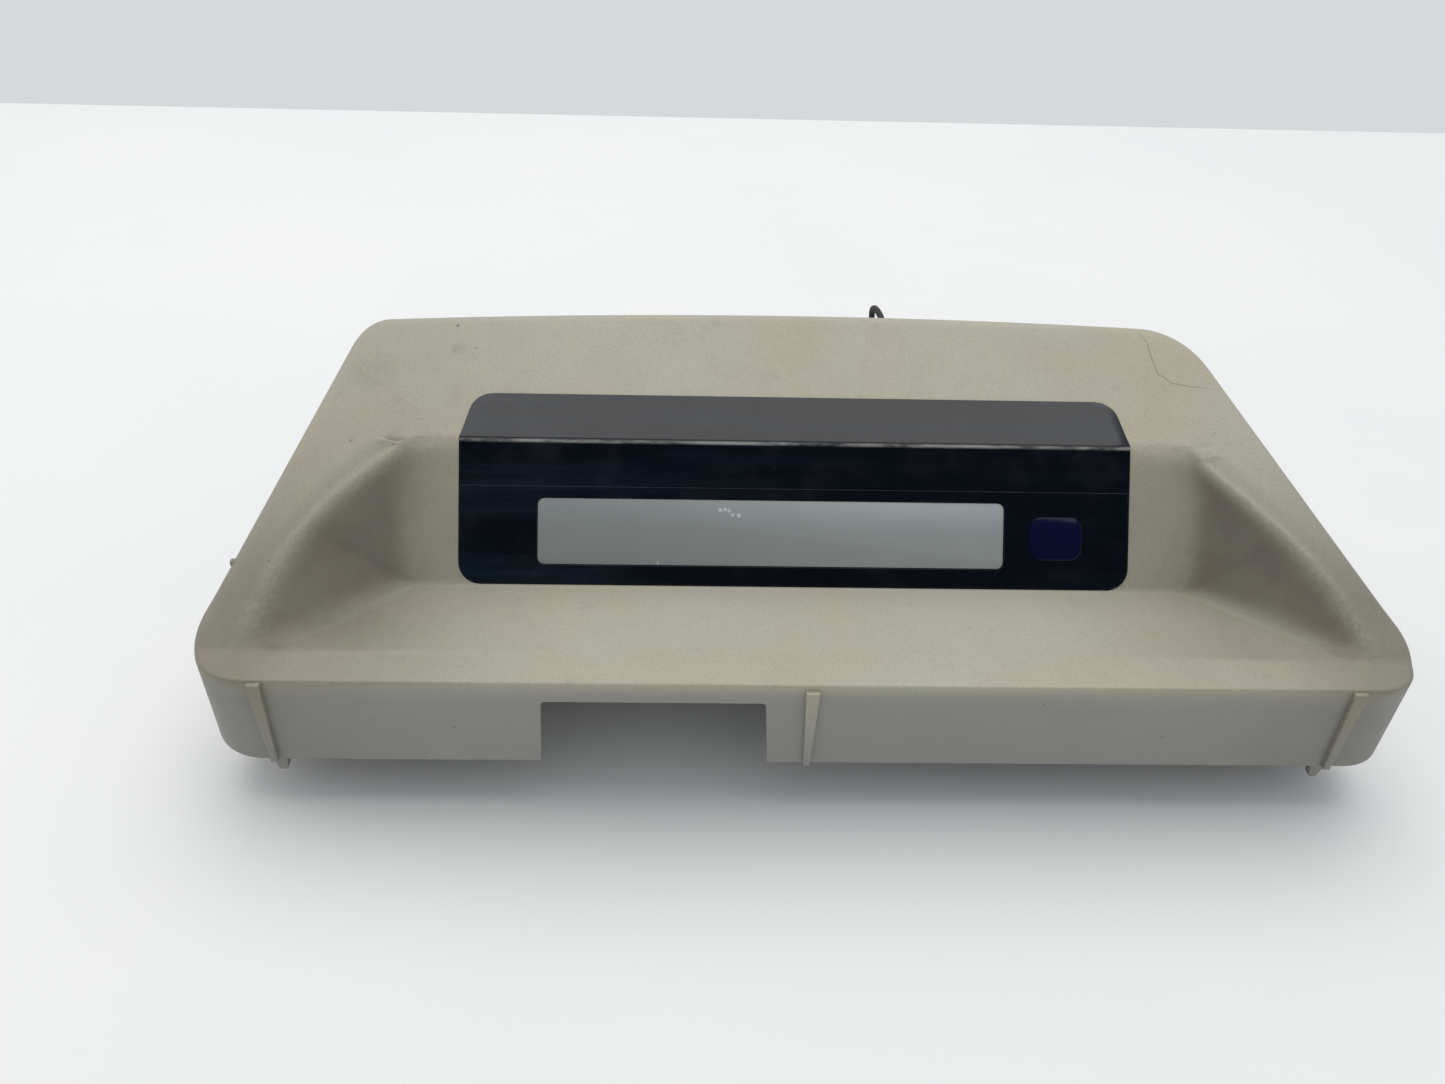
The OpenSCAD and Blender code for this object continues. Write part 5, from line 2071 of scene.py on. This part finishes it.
@dataclass
class Surface:
    """A finished piece that smaller ones are set on by a ray from the camera."""

    tree: BVHTree

    @classmethod
    def of(cls, item: bpy.types.Object) -> "Surface":
        """The surface of an object, as finished and placed."""
        graph = bpy.context.evaluated_depsgraph_get()
        return cls(BVHTree.FromObject(item, graph))

    def under(self, px: float, py: float) -> Tuple[Vector, Vector]:
        """The place and normal that an image point shows on this surface.

        Args:
            px: the point's x in the photograph's frame.
            py: the point's y.

        Returns:
            The place and its normal; a miss takes the place nearest the ray.
        """
        start, way = CAMERA.ray(px, py)
        hit, normal, _, _ = self.tree.ray_cast(start, way)
        if hit is not None:
            return hit, normal
        best: Optional[Tuple[float, Vector, Vector]] = None
        for step in np.linspace(0.1, 0.8, 141):
            near, turned, _, gap = self.tree.find_nearest(start + way * float(step))
            if near is not None and (best is None or gap < best[0]):
                best = (gap, near, turned)
        return best[1], best[2]


@dataclass
class Crack:
    """The fine crack in the ramp, laid on the hood along image points."""

    surface: Surface
    route: Sequence[Tuple[float, float]] = (
        (1137, 331), (1147, 343), (1152, 360), (1158, 374), (1172, 383), (1192, 387),
        (1208, 388),
    )
    width: float = 0.22
    wobble: float = 0.12
    finish: Finish = Finish(
        "crack_dark", (136, 131, 118), (116, 110, 98), 1.5, 0.2, 0.01, (0.7, 0.85)
    )

    def build(self) -> bpy.types.Object:
        """The crack as a thin strip that follows the hood's surface."""
        found = [self.surface.under(*p) for p in self.route]
        spots: List[Vector] = []
        normals: List[Vector] = []
        for (a, _), (b, _) in zip(found, found[1:]):
            for k in range(8):
                share = k / 8
                near, normal, _, _ = self.surface.tree.find_nearest(a.lerp(b, share))
                spots.append(near)
                normals.append(normal)
        spots.append(found[-1][0])
        normals.append(found[-1][1])
        points: List[Vector] = []
        rng = np.random.default_rng(7)
        wobble = rng.uniform(-self.wobble, self.wobble, len(spots))
        for i, (p, n) in enumerate(zip(spots, normals)):
            ahead = (spots[min(i + 1, len(spots) - 1)] - spots[max(i - 1, 0)]).normalized()
            side = n.cross(ahead).normalized()
            share = math.sin(math.pi * (i + 0.6) / (len(spots) + 0.2)) ** 0.4
            middle = p + n * 0.02 * MM + side * float(wobble[i]) * MM
            points.append(middle - side * self.width / 2 * share * MM)
            points.append(middle + side * self.width / 2 * share * MM)
        faces = [(2 * i, 2 * i + 1, 2 * i + 3, 2 * i + 2) for i in range(len(spots) - 1)]
        strip = mesh_object("ramp_crack", points, faces)
        if strip.data.polygons[0].normal.dot(normals[0]) < 0:
            strip.data.flip_normals()
        dress(strip, self.finish.build())
        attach(strip, "root")
        return strip


class ImagePoints:
    """Named points of the photograph, and where each lies on the object."""

    EDGES: Dict[str, float] = {
        "left_x": 190.5, "right_x": 1415.0, "top_y": 314.0, "bottom_y": 773.0,
    }
    SPOTS: Dict[str, Tuple[float, float]] = {
        "window_top_left": (536.9, 498.0),
        "window_top_right": (1004.8, 502.0),
        "window_bottom_left": (537.4, 563.0),
        "window_bottom_right": (1003.0, 569.0),
        "blue_top_left": (1028.9, 517.6),
        "blue_bottom_right": (1080.5, 560.0),
        "lens_crest_left": (460.0, 437.0),
        "lens_crest_right": (1131.0, 447.0),
        "lens_foot_left": (458.0, 585.0),
        "lens_foot_right": (1128.0, 592.0),
        "notch_top_left": (540.4, 703.0),
        "notch_top_right": (766.6, 704.5),
        "middle_rib_top": (808.5, 694.5),
        "skirt_top_left_rib": (251.4, 685.5),
        "skirt_top_right_rib": (1359.0, 696.0),
    }

    def __init__(self, hood: "Hood") -> None:
        """Keeps the hood, whose sizes say where each feature is."""
        self.hood = hood

    def expected(self) -> Dict[str, Vector]:
        """Where each named spot lies on the object."""
        hood, f, lens = self.hood, self.hood.form, self.hood.lens
        found: Dict[str, Vector] = {}
        for side, sign in (("left", -1), ("right", 1)):
            edge = lens.centre_x + sign * lens.half
            notch = hood.notch_left if sign < 0 else hood.notch_right
            found["window_top_" + side] = DISPLAY_WINDOW.corner_spot(f, sign, -1)
            found["window_bottom_" + side] = DISPLAY_WINDOW.corner_spot(f, sign, 1)
            found["lens_crest_" + side] = f.on_face(edge, 0) @ Vector((0, 0, 0.3 * MM))
            found["lens_foot_" + side] = f.on_face(edge, lens.end) @ Vector(
                (0, 0, 0.3 * MM)
            )
            found["notch_top_" + side] = spot(notch, 0, -hood.notch_top)
            found["skirt_top_" + side + "_rib"] = spot(
                sign * hood.rib_x, -1.5, -hood.rib_drop
            )
        found["blue_top_left"] = LAMP_WINDOW.corner_spot(f, -1, -1)
        found["blue_bottom_right"] = LAMP_WINDOW.corner_spot(f, 1, 1)
        found["middle_rib_top"] = spot(0, -1.5, -hood.rib_drop_middle)
        return {name: found[name] for name in self.SPOTS}

    def report(self, pieces: Sequence[bpy.types.Object]) -> None:
        """Finds the pieces' point nearest to where each named spot lies on the object.

        Args:
            pieces: the finished pieces that show the points.
        """
        clouds = []
        for item in pieces:
            co = np.empty(len(item.data.vertices) * 3)
            item.data.vertices.foreach_get("co", co)
            clouds.append(co.reshape(-1, 3))
        every = np.concatenate(clouds)
        for name, place in self.expected().items():
            near = every[np.linalg.norm(every - np.array(place), axis=1).argmin()]


# place on the hood, radius in millimetres and darkness of each mark seen on it
HOOD_MARKS = (
    ((-103.8, 100.8, 51.8), 0.8, 0.7), ((-97.7, 93.9, 47.9), 0.6, 0.6),
    ((-130.5, 66.2, 31.9), 0.9, 0.6), ((-127.1, 85.8, 43.2), 9.0, 0.12),
    ((-103.0, 93.5, 47.7), 2.6, 0.2), ((-94.7, 0, -16.3), 0.6, 0.7),
    ((96.2, 0, -17.7), 0.6, 0.7), ((61.5, 0, -5.8), 0.5, 0.6),
    ((-148.0, 33.7, 13.1), 0.8, 0.6),
)


def main() -> None:
    """Builds the camera, lead, hood, lens, display unit and studio, in that order."""
    logging.basicConfig(level=logging.INFO, format="%(name)s: %(message)s")
    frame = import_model()
    CAMERA.build()
    form = HoodForm()
    lens_form = LensForm(form)
    made = DisplayLead(form).build()
    marks = [(spot(*place), radius, dark) for place, radius, dark in HOOD_MARKS]
    hood_plan = Hood(form, lens_form, marks=marks)
    hood = hood_plan.build()
    lens = Lens(form, lens_form).build()
    crack = Crack(Surface.of(hood)).build()
    made += [hood, *lens, crack]
    made += dress_display_unit(frame["nodes"])
    Studio().build()
    for item in made:
        LOG.info("piece %s", item.name)
    bpy.context.view_layer.update()
    ImagePoints(hood_plan).report([hood, *lens])


if __name__ == "__main__":
    main()
